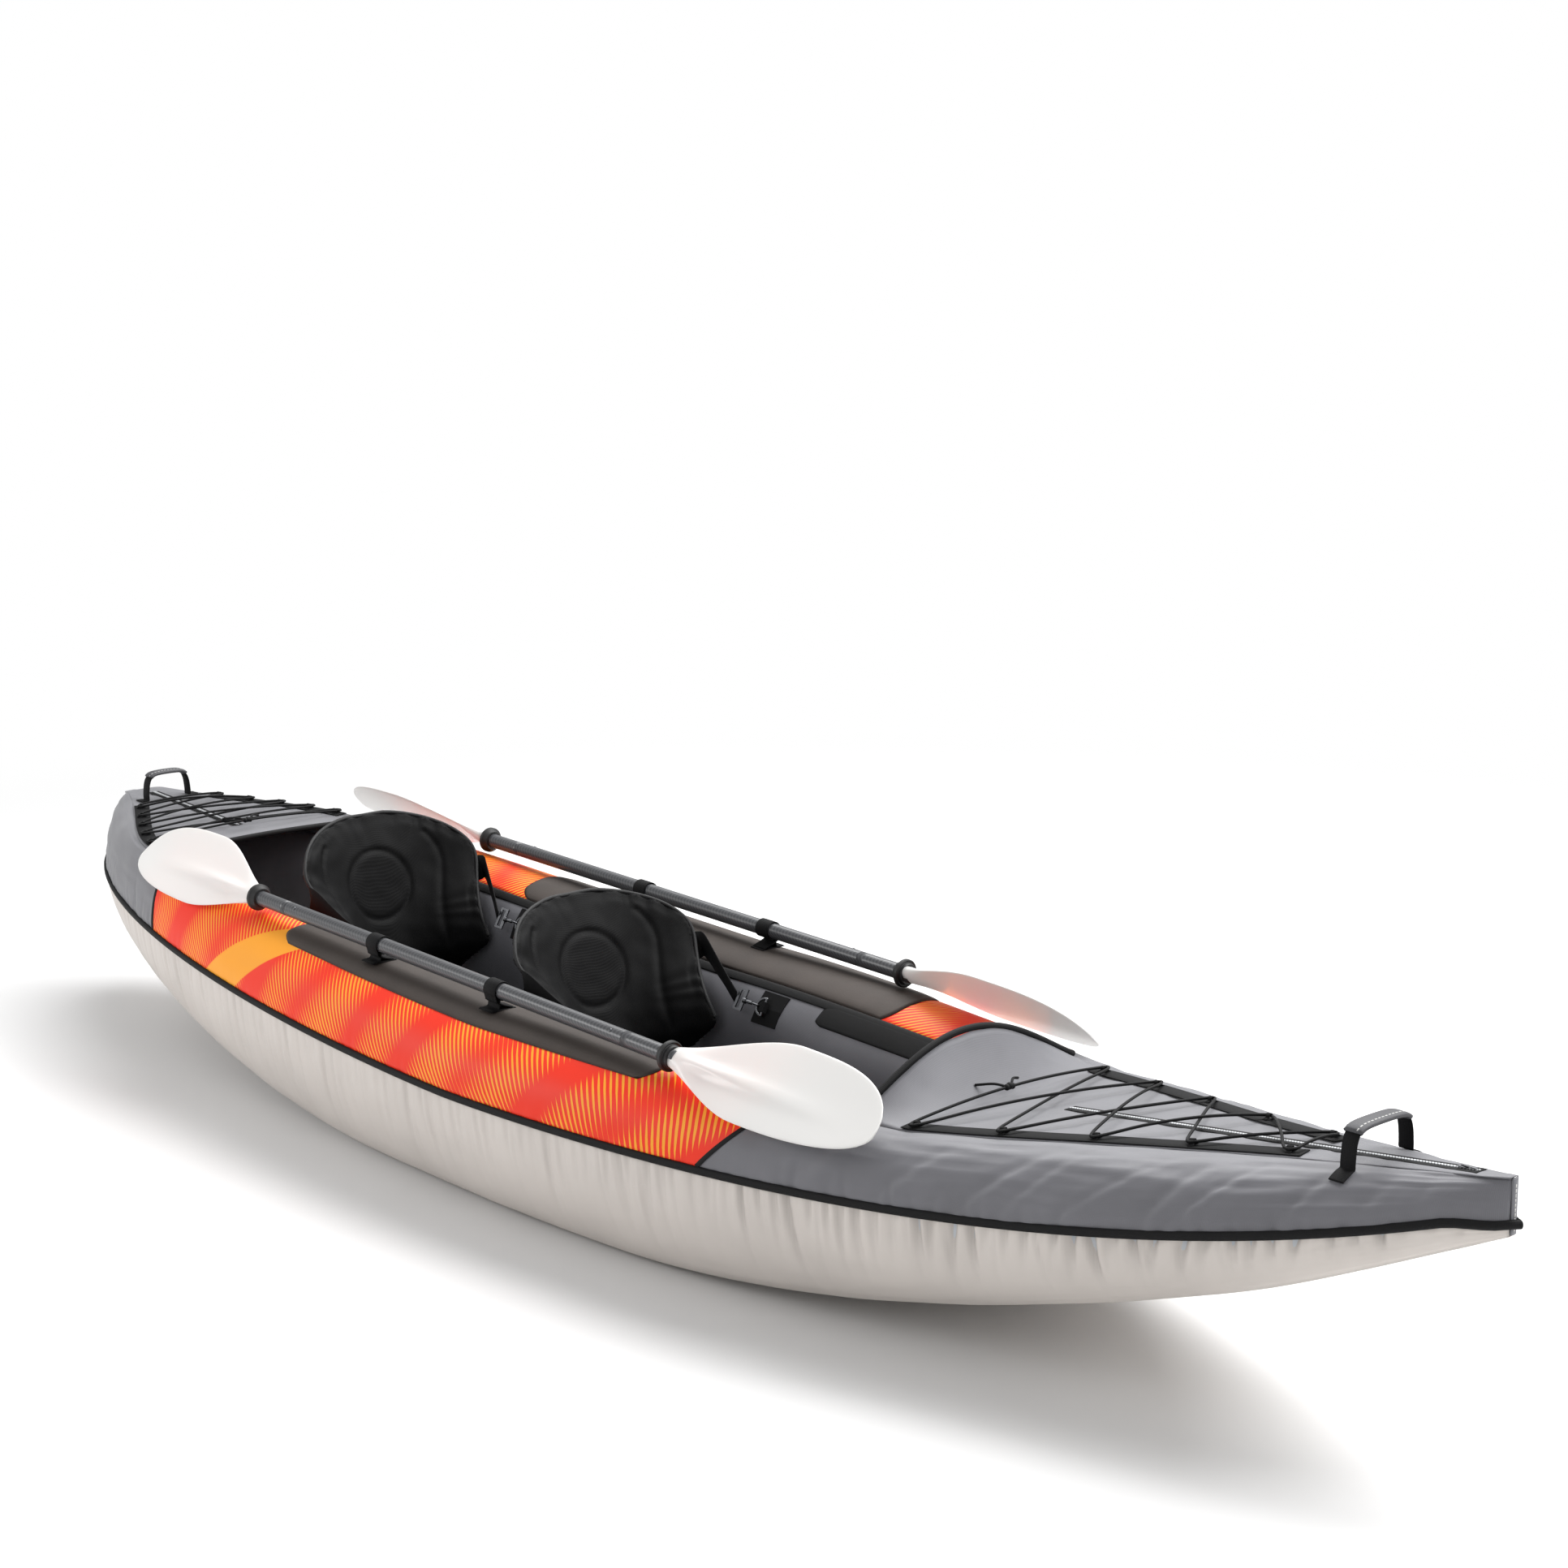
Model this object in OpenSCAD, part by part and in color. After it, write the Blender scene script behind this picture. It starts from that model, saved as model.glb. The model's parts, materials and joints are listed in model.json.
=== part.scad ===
// Inflatable tandem kayak with its two paddles strapped to the side tubes.
// Millimetres. +X points to the bow, +Y to port, +Z up. The origin is on the ground amidships.

/* [Hull] */
// Length of the fabric hull
hull_l = 3900; // [3700:10:4200]
// Beam at the side seam amidships
hull_w = 900; // [860:5:960]
// Height of the tube crest above the ground amidships
side_h = 365; // [350:5:390]
// Height of the side seam above the ground amidships
seam_h = 235; // [220:5:245]
// Tube width from its crest to its cockpit wall
tube_in_w = 140; // [125:5:150]
// Thickness of the fabric covers
cover_t = 1.5; // [1:0.1:2]
// Clearance between layers that are sewn or laid on each other
layer_gap = 0.4; // [0.3:0.05:0.5]

/* [Sheer and rocker] */
// Rise of the seam at the bow
bow_seam_rise = 180; // [150:5:200]
// Rise of the seam at the stern
stern_seam_rise = 95; // [80:5:120]
// Rise of the crest at the stern
stern_crest_rise = 100; // [80:5:120]
// Where the bow deck starts to climb
ramp_x = 980; // [950:5:1020]
// Climb of the bow deck
ramp_slope = 0.115; // [0.1:0.005:0.13]
// Rise of the bottom at the bow
bow_rocker = 360; // [320:5:370]
// Rise of the bottom at the stern
stern_rocker = 285; // [260:5:300]

/* [Covers and decks] */
// Place of the seam between side panel and bow cover
bow_panel_x = 640; // [600:5:700]
// Place of the seam between side panel and stern cover
stern_panel_x = -1240; // [-1290:5:-1200]
// Forward lean of the bow seam
panel_slant = 110; // [60:5:140]
// Aft edge of the bow deck
bow_deck_x = 884; // [860:2:910]
// Forward edge of the stern deck
stern_deck_x = -1310; // [-1340:2:-1280]
// Thickness of the deck fabric
deck_t = 2; // [1.5:0.1:2.5]
// Height of the bow splash guard
guard_h = 95; // [70:5:105]
// Length of the splash guard's slope
guard_l = 78; // [60:2:80]
// Diameter of the padded deck edge
coaming_d = 12; // [10:0.5:14]

/* [Floor] */
// Thickness of the inflated floor
floor_t = 100; // [80:5:110]
// Width of the inflated floor
floor_w = 340; // [300:5:350]

/* [Pads and paddle straps] */
// Aft end of the side pads
pad_x0 = -690; // [-720:5:-660]
// Forward end of the side pads
pad_x1 = 400; // [370:5:430]
// Thickness of the foam pads
pad_t = 4; // [3:0.5:5]
// Place of the aft paddle strap
strap_x0 = -385; // [-420:5:-350]
// Place of the forward paddle strap
strap_x1 = 0; // [-30:5:30]
// Width of a paddle strap
strap_w = 38; // [25:1:50]

/* [Paddles] */
// Length of a paddle
paddle_l = 2300; // [2200:10:2400]
// Diameter of the shaft
shaft_d = 30; // [28:0.5:32]
// Wall of the shaft
shaft_wall = 2; // [1.5:0.1:2.2]
// Length of a blade
blade_l = 480; // [440:5:520]
// Width of a blade
blade_w = 178; // [160:2:190]
// Half the length of the middle shaft
joint_x = 540; // [500:5:580]
// Outer diameter of the drip rings
drip_d = 54; // [48:1:60]
// Middle of the port paddle
port_paddle_x = -270; // [-300:5:-240]
// Middle of the starboard paddle
starboard_paddle_x = -162; // [-190:5:-130]
// Distance of a paddle from the middle plane
paddle_y = 325; // [315:1:330]
// Height of the paddle axis amidships
paddle_z = 405; // [400:1:415]
// Turn of the blades about the shaft
blade_lean = 42; // [35:1:50]

/* [Seats] */
// Back-rest fold line of the front seat
front_seat_x = -90; // [-110:5:-70]
// Back-rest fold line of the rear seat
rear_seat_x = -850; // [-870:5:-830]
// Width of a seat cushion
seat_w = 310; // [280:5:320]
// Length of a seat cushion
seat_l = 400; // [360:5:420]
// Edge thickness of a seat cushion
seat_t = 26; // [20:1:32]
// Crown of a seat cushion
seat_crown = 14; // [8:1:18]
// Height of a back-rest along its slope
back_h = 385; // [365:5:400]
// Width of a back-rest at its shoulders
back_w = 430; // [410:2:440]
// Width of a back-rest at its foot
back_foot_w = 304; // [290:2:308]
// Thickness of a back-rest at its middle
back_t = 44; // [34:1:50]
// Forward reach of a back-rest's wings beside the cushion
wing_l = 170; // [140:5:180]
// Forward reach of a back-rest's sides at the shoulders
shoulder_l = 85; // [70:5:100]
// Aft lean of a back-rest
back_lean = 18; // [14:1:22]

/* [Deck fittings] */
// Diameter of the bungee cord
bungee_d = 5; // [4:0.5:6]
// Loops for the bungee along each webbing
loop_count = 5; // [4:1:6]
// Place of the bow handle
bow_handle_x = 1712; // [1690:2:1730]
// Place of the stern handle
stern_handle_x = -1766; // [-1790:2:-1756]
// Width of the handle webbing
handle_w = 25; // [20:1:30]
// Height of the handle arch
handle_h = 70; // [60:1:80]
// Width of the zip tape
zip_w = 26; // [20:1:32]

/* [Valves and fin box] */
// Radius of a valve flange
valve_r = 30; // [26:1:34]
// Travel of a valve plunger
plunger_travel = 2; // [1:0.25:2]
// Length of the fin box
fin_box_l = 220; // [180:5:250]
// Width of the fin slot
fin_slot_w = 9; // [7:0.5:10]

/* [Hidden] */
$fn = 48;

// Fullness and taper of the plan form, bow and stern
bow_full = 1.66;
bow_taper = 0.755;
stern_full = 2.24;
stern_taper = 0.614;
// Share of the half beam at which the chine runs, and the crest amidships
chine_share = 0.7;
flat_share = 0.2;
sheer_dip = 15;
half_l = hull_l / 2;
tip_trim = 6;
cover_end = half_l - tip_trim;
centre_gap = 5;

// Numbers and vectors
function ease(a, b, t) = let (u = min(1, max(0, (t - a) / (b - a)))) u * u * (3 - 2 * u);
function mix(a, b, u) = a + (b - a) * u;
function unit(v) = v / norm(v);
function flat(rows) = [for (r = rows) each r];

// Hull lines: each gives a height or a half breadth at station x
function reach(x) = min(1, abs(x) / half_l);
function half_beam(x) = hull_w / 2
    * pow(max(0, 1 - pow(reach(x), x > 0 ? bow_full : stern_full)), x > 0 ? bow_taper : stern_taper);
function seam_z(x) = seam_h
    + (x > 0 ? bow_seam_rise * pow(reach(x), 3.4) : stern_seam_rise * pow(reach(x), 1.3));
function crest_z(x) = x > 0
    ? side_h - sheer_dip * ease(0, ramp_x, x) + max(0, x - ramp_x) * ramp_slope
    : side_h + stern_crest_rise * pow(reach(x), 1.1);
function keel_z(x) = (x > 0 ? bow_rocker : stern_rocker)
    * pow(max(0, (reach(x) - flat_share) / (1 - flat_share)), 1.7);
function crest_share(x) = let (t = reach(x)) x > 0
    ? mix(chine_share, 0.25, ease(0.45, 1, t))
    : mix(chine_share, 0.83, ease(0.25, 0.7, t)) - 0.55 * ease(0.72, 1.05, t);
function crest_y(x) = half_beam(x) * crest_share(x);
function chine_y(x) = half_beam(x) * chine_share;
function wall_y(x) = crest_y(x) - max(1, min(tube_in_w, crest_y(x) - centre_gap));

// Point of the port tube's skin at station x. Angle 0 is the seam, 90 the crest, 180 the cockpit wall.
function hull_pt(x, a, off) = let (
        c = cos(a),
        s = sin(a),
        y0 = s > 0 ? crest_y(x) : chine_y(x),
        ry = c > 0 ? half_beam(x) - y0 : y0 - wall_y(x),
        rz = s > 0 ? crest_z(x) - seam_z(x) : seam_z(x) - keel_z(x)
    ) [x, y0 + (ry + off) * c, seam_z(x) + (rz + off) * s];

// Stations of every cover, closer together towards the ends
half_rows = 15;
row_gap = 25;
flat_x = half_l * flat_share;
fixed_rows = [stern_panel_x, -flat_x, flat_x, bow_panel_x];
spread_rows = [for (i = [-half_rows:half_rows]) let (u = i / half_rows) cover_end * (0.6 * u + 0.4 * sin(90 * u))];
free_rows = [for (x = spread_rows) if (min([for (f = fixed_rows) abs(x - f)]) > row_gap) x];
function sorted(v) = len(v) < 2 ? v : let (p = v[floor(len(v) / 2)]) concat(
    sorted([for (x = v) if (x < p) x]), [p], sorted([for (x = v) if (x > p) x]));
stations = sorted(concat(fixed_rows, free_rows));
last_row = len(stations) - 1;
function rows_between(x0, x1) =
    concat([x0], [for (x = stations) if (x > x0 + row_gap && x < x1 - row_gap) x], [x1]);
upper_angles = [1.5, 18, 36, 54, 72, 90, 108, 127];
wall_angles = [128.5, 150, 171, 192, 213, 234, 250];
lower_angles = [-88, -70, -52, -35, -18, -1.5];
bladder_angles = [0, 18, 36, 54, 72, 90, 108, 127.75, 150, 171, 192, 213, 234, 250, 271, 290, 308, 325, 342];
pad_angles = [63, 72, 90, 108, 126];

// One row of a cover, leaned forward near the bow seam of the side panel
slant_reach = 350;
function lean_x(x, a) = x + panel_slant * exp(-pow((x - bow_panel_x) / slant_reach, 2)) * max(0, sin(a));
function hull_row(x, angles, off) = [for (a = angles) hull_pt(lean_x(x, a), a, off)];

// A closed sheet between two grids of points with the same rows and columns
module sheet(top, bottom) {
    n = len(top);
    m = len(top[0]);
    o = n * m;
    skin = [for (i = [0:n - 2], j = [0:m - 2]) let (p = i * m + j) each [[p, p + m, p + m + 1], [p, p + m + 1, p + 1]]];
    back = [for (f = skin) [f[2] + o, f[1] + o, f[0] + o]];
    low = [for (i = [0:n - 2]) let (p = i * m, q = p + m) each [[p, p + o, q + o], [p, q + o, q]]];
    high = [for (i = [0:n - 2]) let (p = i * m + m - 1, q = p + m) each [[p, q, q + o], [p, q + o, p + o]]];
    first = [for (j = [0:m - 2]) each [[j, j + 1, j + 1 + o], [j, j + 1 + o, j + o]]];
    last = [for (j = [0:m - 2]) let (p = (n - 1) * m + j) each [[p, p + o, p + 1 + o], [p, p + 1 + o, p + 1]]];
    polyhedron(concat(flat(top), flat(bottom)), concat(skin, back, low, high, first, last));
}

// A closed body through rings of points, capped at both ends or joined into a loop
module loft(rings, loop = false) {
    n = len(rings);
    m = len(rings[0]);
    sides = [for (i = [0:n - (loop ? 1 : 2)], j = [0:m - 1])
        let (p = i * m, q = ((i + 1) % n) * m, k = (j + 1) % m)
        each [[p + j, q + j, q + k], [p + j, q + k, p + k]]];
    e = (n - 1) * m;
    caps = loop ? [] : [for (j = [1:m - 2]) each [[0, j, j + 1], [e, e + j + 1, e + j]]];
    polyhedron(flat(rings), concat(sides, caps));
}

// A closed pipe wall between outer and inner rings
module pipe_wall(outer, inner) {
    n = len(outer);
    m = len(outer[0]);
    o = n * m;
    skin = [for (i = [0:n - 2], j = [0:m - 1]) let (p = i * m, k = (j + 1) % m)
        each [[p + j, p + m + j, p + m + k], [p + j, p + m + k, p + k]]];
    bore = [for (f = skin) [f[2] + o, f[1] + o, f[0] + o]];
    e = (n - 1) * m;
    ends = [for (j = [0:m - 1]) let (k = (j + 1) % m)
        each [[j, k, k + o], [j, k + o, j + o], [e + j, e + j + o, e + k + o], [e + j, e + k + o, e + k]]];
    polyhedron(concat(flat(outer), flat(inner)), concat(skin, bore, ends));
}

// Rings of a section carried along a path. The section lies in the directions across the path.
function heading(path, i, loop) = let (n = len(path))
    unit(path[loop ? (i + 1) % n : min(i + 1, n - 1)] - path[loop ? (i + n - 1) % n : max(i - 1, 0)]);
function swept(path, section, side = undef, loop = false) = [for (i = [0:len(path) - 1]) let (
        t = heading(path, i, loop),
        s = is_undef(side) ? unit(cross([0, 0, 1], t)) : side,
        n = cross(t, s)
    ) [for (p = section) path[i] + p[0] * s + p[1] * n]];
function round_section(d, sides) = [for (k = [0:sides - 1]) d / 2 * [cos(360 * k / sides), sin(360 * k / sides)]];
function flat_section(w, t) = [[w / 2, -t / 2], [w / 2, t / 2], [-w / 2, t / 2], [-w / 2, -t / 2]];

module to_side(side) {
    mirror([0, side < 0 ? 1 : 0, 0]) children();
}

module both_sides() {
    for (side = [-1, 1]) to_side(side) children();
}

module cover(x0, x1, angles, low, high) {
    xs = rows_between(x0, x1);
    sheet([for (x = xs) hull_row(x, angles, high)], [for (x = xs) hull_row(x, angles, low)]);
}

// Hull covers
module bottom_panel() color("gainsboro") {
    inset = 2;
    columns = [1, 0.34, -0.34, -1];
    grid = function(lift) [for (x = stations) [for (v = columns) [x, v * max(1, chine_y(x) - inset), keel_z(x) + lift]]];
    sheet(grid(cover_t), grid(0));
}

module lower_side(side) color("gainsboro") to_side(side) cover(-cover_end, cover_end, lower_angles, -cover_t, 0);

module side_panel(side) color("orangered") to_side(side)
    cover(stern_panel_x + layer_gap, bow_panel_x - layer_gap, upper_angles, -cover_t, 0);

module bow_cover() color("slategray") both_sides() cover(bow_panel_x + layer_gap, cover_end, upper_angles, -cover_t, 0);

module stern_cover() color("slategray") both_sides()
    cover(-cover_end, stern_panel_x - layer_gap, upper_angles, -cover_t, 0);

module inner_wall(side) color("dimgray") to_side(side) cover(-cover_end, cover_end, wall_angles, -cover_t, 0);

module bladder(side) color("lightsteelblue") to_side(side)
    loft([for (k = [1:last_row - 1]) hull_row(stations[k], bladder_angles, -cover_t - layer_gap)]);

// Decks
deck_edge = 6;
columns_across = [for (k = [-4:4]) -k / 4];
function guard(x) = x > 0
    ? guard_h * pow(max(0, 1 - (x - bow_deck_x) / guard_l), 1.3)
    : 8 * pow(max(0, 1 - (stern_deck_x - x) / guard_l), 1.3);
function deck_pt(x, v, lift) = let (y = v * (crest_y(x) + deck_edge))
    [x, y, crest_z(x) + layer_gap + lift + guard(x) * pow(max(0, cos(90 * v)), 1.1)];
module deck(x_list) color("slategray")
    sheet([for (x = x_list) [for (v = columns_across) deck_pt(x, v, deck_t)]],
        [for (x = x_list) [for (v = columns_across) deck_pt(x, v, 0)]]);
guard_rows = [for (k = [0:4]) bow_deck_x + guard_l * k / 4];
bow_rows = concat(guard_rows, [ramp_x], [for (x = stations) if (x > ramp_x + row_gap) x]);
stern_rows = concat([for (x = stations) if (x < stern_deck_x - guard_l - row_gap) x],
    [stern_deck_x - guard_l, stern_deck_x]);
module bow_deck() deck(bow_rows);
module stern_deck() deck(stern_rows);

module deck_coamings() color("black") {
    for (x = [bow_deck_x, stern_deck_x])
        let (lap = sqrt(pow(coaming_d / 2 + layer_gap, 2) - pow(coaming_d / 2 - deck_t, 2)),
            out = x + (x > 0 ? -lap : lap),
            edge = [for (k = [-8:8]) let (p = deck_pt(x, k / 8, coaming_d / 2)) [out, p.y, p.z]])
        loft(swept(edge, round_section(coaming_d, 8)));
}

// Floor, piping and end bindings
floor_x0 = -1250;
floor_x1 = 1130;
floor_rows = [for (x = stations) if (x > floor_x0 && x < floor_x1) x];
floor_line = [for (x = stations) [x, keel_z(x) + cover_t + layer_gap + floor_t]];
function floor_top(x) = lookup(x, floor_line);
function floor_half(x) = min(floor_w / 2, wall_y(x) - 10);
module inflatable_floor() color("darkgray") {
    round = 14;
    ring = function(x) let (w = floor_half(x), z1 = floor_top(x), z0 = z1 - floor_t, zm = z1 - floor_t / 2) [
        [x, w + round, zm], [x, w, z1 - round], [x, w - round, z1], [x, round - w, z1], [x, -w, z1 - round],
        [x, -w - round, zm], [x, -w, z0 + round], [x, round - w, z0], [x, w - round, z0], [x, w, z0 + round]
    ];
    loft([for (x = floor_rows) ring(x)]);
}

piping_h = 14;
piping_t = 5;
module seam_piping() color("black") {
    tip_out = 6;
    aft_to_bow = [for (x = stations) [x, -half_beam(x), seam_z(x)]];
    bow_to_aft = [for (k = [1:len(stations)]) let (x = stations[len(stations) - k]) [x, half_beam(x), seam_z(x)]];
    path = concat(aft_to_bow, [[half_l + tip_out, 0, seam_z(half_l)]], bow_to_aft,
        [[-half_l - tip_out, 0, seam_z(-half_l)]]);
    in = -layer_gap;
    band = [[in, -piping_h / 2], [in, piping_h / 2], [in - piping_t * 0.7, piping_h / 2], [in - piping_t, 0],
        [in - piping_t * 0.7, -piping_h / 2]];
    loft(swept(path, band, loop = true), loop = true);
}

module nose_bindings() color("black") {
    t = 2;
    w = 10;
    for (end = [-1, 1])
        let (x = end * cover_end, z0 = keel_z(x) + cover_t, z1 = crest_z(x) - cover_t)
        translate([end * (cover_end + layer_gap + t / 2), 0, (z0 + z1) / 2]) cube([t, w, z1 - z0], center = true);
}

// Deck webbing, cord loops, bungee and zips
webbing_w = 25;
webbing_t = 1.5;
bow_lace = [985, 1595];
stern_lace = [-1415, -1705];
deck_line = [for (x = concat(stern_rows, bow_rows)) [x, crest_z(x) + layer_gap + deck_t]];
function deck_top(x) = lookup(x, deck_line);
module deck_webbing() color("black") both_sides()
    for (lace = [bow_lace, stern_lace])
        let (end = 22 * sign(lace[1] - lace[0]),
            x0 = min(lace[0] - end, lace[1] + end),
            x1 = max(lace[0] - end, lace[1] + end),
            xs = concat([x0], [for (x = concat(stern_rows, bow_rows)) if (x > x0 + 5 && x < x1 - 5) x], [x1]))
        sheet([for (x = xs) web_row(x, webbing_t)], [for (x = xs) web_row(x, 0)]);
function web_row(x, lift) = [for (y = [crest_y(x), crest_y(x) - webbing_w]) [x, y, deck_top(x) + layer_gap + lift]];

cord_lift = 12;
loop_l = 7;
loop_wall = 2;
function lace_x(lace, i) = mix(lace[0], lace[1], i / (loop_count - 1));
function lace_pt(lace, i, side, shift) = let (x = lace_x(lace, i) + shift)
    [x, side * (crest_y(x) - webbing_w / 2), deck_top(x) + cord_lift];
module cord_loops() color("black") both_sides()
    for (lace = [bow_lace, stern_lace], i = [0:loop_count - 1])
        let (p = lace_pt(lace, i, 1, 0),
            q = lace_pt(lace, i, 1, 1),
            d = q - p,
            drop = cord_lift - webbing_t - 2 * layer_gap,
            r = bungee_d / 2 + layer_gap)
        translate(p) rotate([0, -atan(d.z / d.x), atan(d.y / d.x)]) rotate([90, 0, 90])
        linear_extrude(loop_l, center = true) difference() {
            union() {
                circle(r + loop_wall);
                translate([-r - loop_wall, -drop]) square([2 * (r + loop_wall), drop]);
            }
            circle(r);
        }

// The cord zigzags forward, crosses at the far end and zigzags back over itself
cross_rise = 6;
function lace_stop(lace, i, side, way) = let (h = 9 * way * sign(lace[1] - lace[0]))
    [lace_pt(lace, i, side, -h), lace_pt(lace, i, side, h)];
function lace_side(i) = i % 2 == 0 ? -1 : 1;
function lace_path(lace) = let (
        n = loop_count,
        out = [for (i = [0:n - 1]) each lace_stop(lace, i, lace_side(i), 1)],
        home = [for (k = [1:n]) each lace_stop(lace, n - k, -lace_side(n - k), -1)],
        all = concat(out, home),
        m = len(all)
    ) [for (i = [0:m - 1]) each i % 2 == 0 ? [all[i]] : [all[i], (all[i] + all[(i + 1) % m]) / 2
        + [0, 0, i < 2 * n - 2 ? cross_rise : i == m - 1 ? 1.5 * cross_rise : 0]]];
module bungee(lace) color("black") loft(swept(lace_path(lace), round_section(bungee_d, 6), loop = true), loop = true);

bow_zip = [1110, 1890];
stern_zip = [-1450, -1830];
zip_t = 0.8;
teeth_w = 6;
teeth_h = 2;
module deck_zips() color("dimgray")
    for (run = [bow_zip, stern_zip])
        let (x = min(run), l = max(run) - x, slope = atan((deck_top(x + l) - deck_top(x)) / l))
        translate([x, 0, deck_top(x) + layer_gap]) rotate([0, -slope, 0]) {
            translate([0, -zip_w / 2, 0]) cube([l, zip_w, zip_t]);
            translate([0, -teeth_w / 2, 0]) cube([l, teeth_w, teeth_h]);
        }

slider_l = 16;
slider_w = 10;
slider_h = 4.5;
slider_gap = 0.5;
function zip_slope(x) = atan((deck_top(x + 50) - deck_top(x - 50)) / 100);
module zip_slider(x) color("silver") translate([x, 0, deck_top(x) + layer_gap + teeth_h + slider_gap])
    rotate([0, -zip_slope(x), 0]) {
        translate([-slider_l / 2, -slider_w / 2, 0]) cube([slider_l, slider_w, slider_h / 2]);
        translate([-slider_l / 4, -slider_w / 4, slider_h / 2 - 0.5]) cube([slider_l / 2, slider_w / 2, slider_h / 2 + 0.5]);
        translate([slider_l / 4 - 1, -slider_w / 3, slider_h / 2 - 0.5]) cube([22, slider_w / 1.5, 1.6]);
    }

// Handles
handle_t = 2.5;
grip_t = 2.6;
grip_half = 52;
foot_angle = 72;
tab_angle = 54;
stern_foot_y = 54;
// Feet: on the bow cover's shoulder, and flat on the stern deck
function handle_foot(x, at) = x > 0
    ? hull_pt(x, at == 0 ? tab_angle : foot_angle, layer_gap)
    : [x, stern_foot_y + (at == 0 ? 20 : 0), deck_top(x) + layer_gap];
function handle_path(x) = let (
        foot = handle_foot(x, 1),
        half = [foot + [0, -3, 0.6 * handle_h], [x, foot.y - 16, foot.z + 0.92 * handle_h]]
    ) concat(half, [[x, 0, foot.z + handle_h]], [for (k = [1:2]) let (p = half[2 - k]) [p.x, -p.y, p.z]]);
function grip_path(x) = let (p = handle_path(x), a = mix(p[1], p[2], 0.03)) [a, p[2], [a.x, -a.y, a.z]];
function flip_y(row) = [for (p = row) [p.x, -p.y, p.z]];
// One face of the strap: its two edges from tab to tab. The outer face lies a strap's thickness further out.
function handle_face(x, out) = let (
        ends = [x + handle_w / 2, x - handle_w / 2],
        lift = out * handle_t,
        arch = swept(handle_path(x), [[handle_w / 2, (out - 0.5) * handle_t], [-handle_w / 2, (out - 0.5) * handle_t]],
            side = [1, 0, 0]),
        tab = [for (e = ends) handle_foot(e, 0) + [0, x > 0 ? 0.72 * lift : 0, x > 0 ? 0.7 * lift : lift]],
        foot = [for (e = ends) handle_foot(e, 1) + [0, lift, x > 0 ? 0.9 * lift : lift]]
    ) concat([tab, foot], arch, [flip_y(foot), flip_y(tab)]);
module handle_straps() color("black")
    for (x = [bow_handle_x, stern_handle_x]) sheet(handle_face(x, 1), handle_face(x, 0));
module handle_grips() color("gray")
    for (x = [bow_handle_x, stern_handle_x])
        let (in_w = handle_w + 2 * layer_gap, in_t = handle_t + 2 * layer_gap)
        pipe_wall(swept(grip_path(x), flat_section(in_w + 2 * grip_t, in_t + 2 * grip_t), side = [1, 0, 0]),
            swept(grip_path(x), flat_section(in_w, in_t), side = [1, 0, 0]));

// Pads, inner flaps and paddle straps
module side_pads() color("dimgray") both_sides() cover(pad_x0, pad_x1, pad_angles, layer_gap, layer_gap + pad_t);
module inner_flaps() color("black") both_sides() cover(270, 790, [130, 140, 150], layer_gap, layer_gap + 1.6);

paddle_drop = 0.036;
paddle_pitch = atan(paddle_drop);
function paddle_height(x) = paddle_z - paddle_drop * x;
module on_paddle(side, x) translate([x, side * paddle_y, paddle_height(x)]) rotate([0, paddle_pitch, 0]) children();

module paddle_straps() color("black")
    for (side = [-1, 1], x = [strap_x0, strap_x1])
        let (r = shaft_d / 2 + layer_gap,
            wall = 2.5,
            pad_top = crest_z(x) + layer_gap + pad_t,
            drop = paddle_height(x) - pad_top - 2 * layer_gap)
        on_paddle(side, x) {
            rotate([0, 90, 0]) difference() {
                cylinder(h = strap_w, r = r + wall, center = true);
                cylinder(h = strap_w + 2, r = r, center = true);
            }
            translate([-strap_w / 2, -4, -drop + wall]) cube([strap_w, 8, drop - wall - r - wall / 2]);
            translate([-strap_w / 2, -28, -drop]) cube([strap_w, 56, wall + 0.5]);
        }

// Paddles
shaft_r = shaft_d / 2;
bore_r = shaft_r - shaft_wall;
spigot_fit = 0.05;
spigot_l = 90;
spigot_wall = 2.4;
spigot_bore = bore_r - spigot_fit - spigot_wall;
button_r = 3.5;
button_fit = 0.1;
button_x = joint_x - 32;
button_turn = 45;
stub_end = paddle_l / 2 - blade_l;
drip_x = stub_end - 12;
module radial_button_hole(x) translate([x, 0, 0]) rotate([-button_turn, 0, 0]) cylinder(h = shaft_d, r = button_r + button_fit);

module shaft(side, x) color("dimgray") on_paddle(side, x) to_side(side) difference() {
    rotate([0, 90, 0]) cylinder(h = 2 * joint_x, r = shaft_r, center = true);
    rotate([0, 90, 0]) cylinder(h = 2 * joint_x + 2, r = bore_r, center = true);
    for (end = [-1, 1]) radial_button_hole(end * button_x);
}

// Half breadth of the blade, from its neck at 0 to its tip at 1
function blade_half(s) = let (wide = mix(12, blade_w / 2, ease(0, 0.62, s)))
    wide * (s < 0.55 ? 1 : pow(1 - pow((s - 0.55) / 0.45, 2.3), 0.5));
function blade_ring(s) = let (
        w = blade_half(s),
        ridge = mix(14, 2.4, ease(0.02, 0.75, s)),
        t = mix(11, 1.6, ease(0, 0.3, s)),
        dish = 14 * pow(s, 2)
    ) [for (p = [[w, 0], [0.5 * w, t], [0, ridge], [-0.5 * w, t], [-w, 0], [-0.5 * w, -t], [0, -ridge], [0.5 * w, -t]])
        [s * blade_l, p[0], p[1] - dish * (1 - 0.4 * pow(p[0] / blade_w * 2, 2))]];
blade_steps = [0, 0.08, 0.16, 0.25, 0.34, 0.43, 0.52, 0.61, 0.7, 0.79, 0.87, 0.93, 0.97, 0.992];
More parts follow.
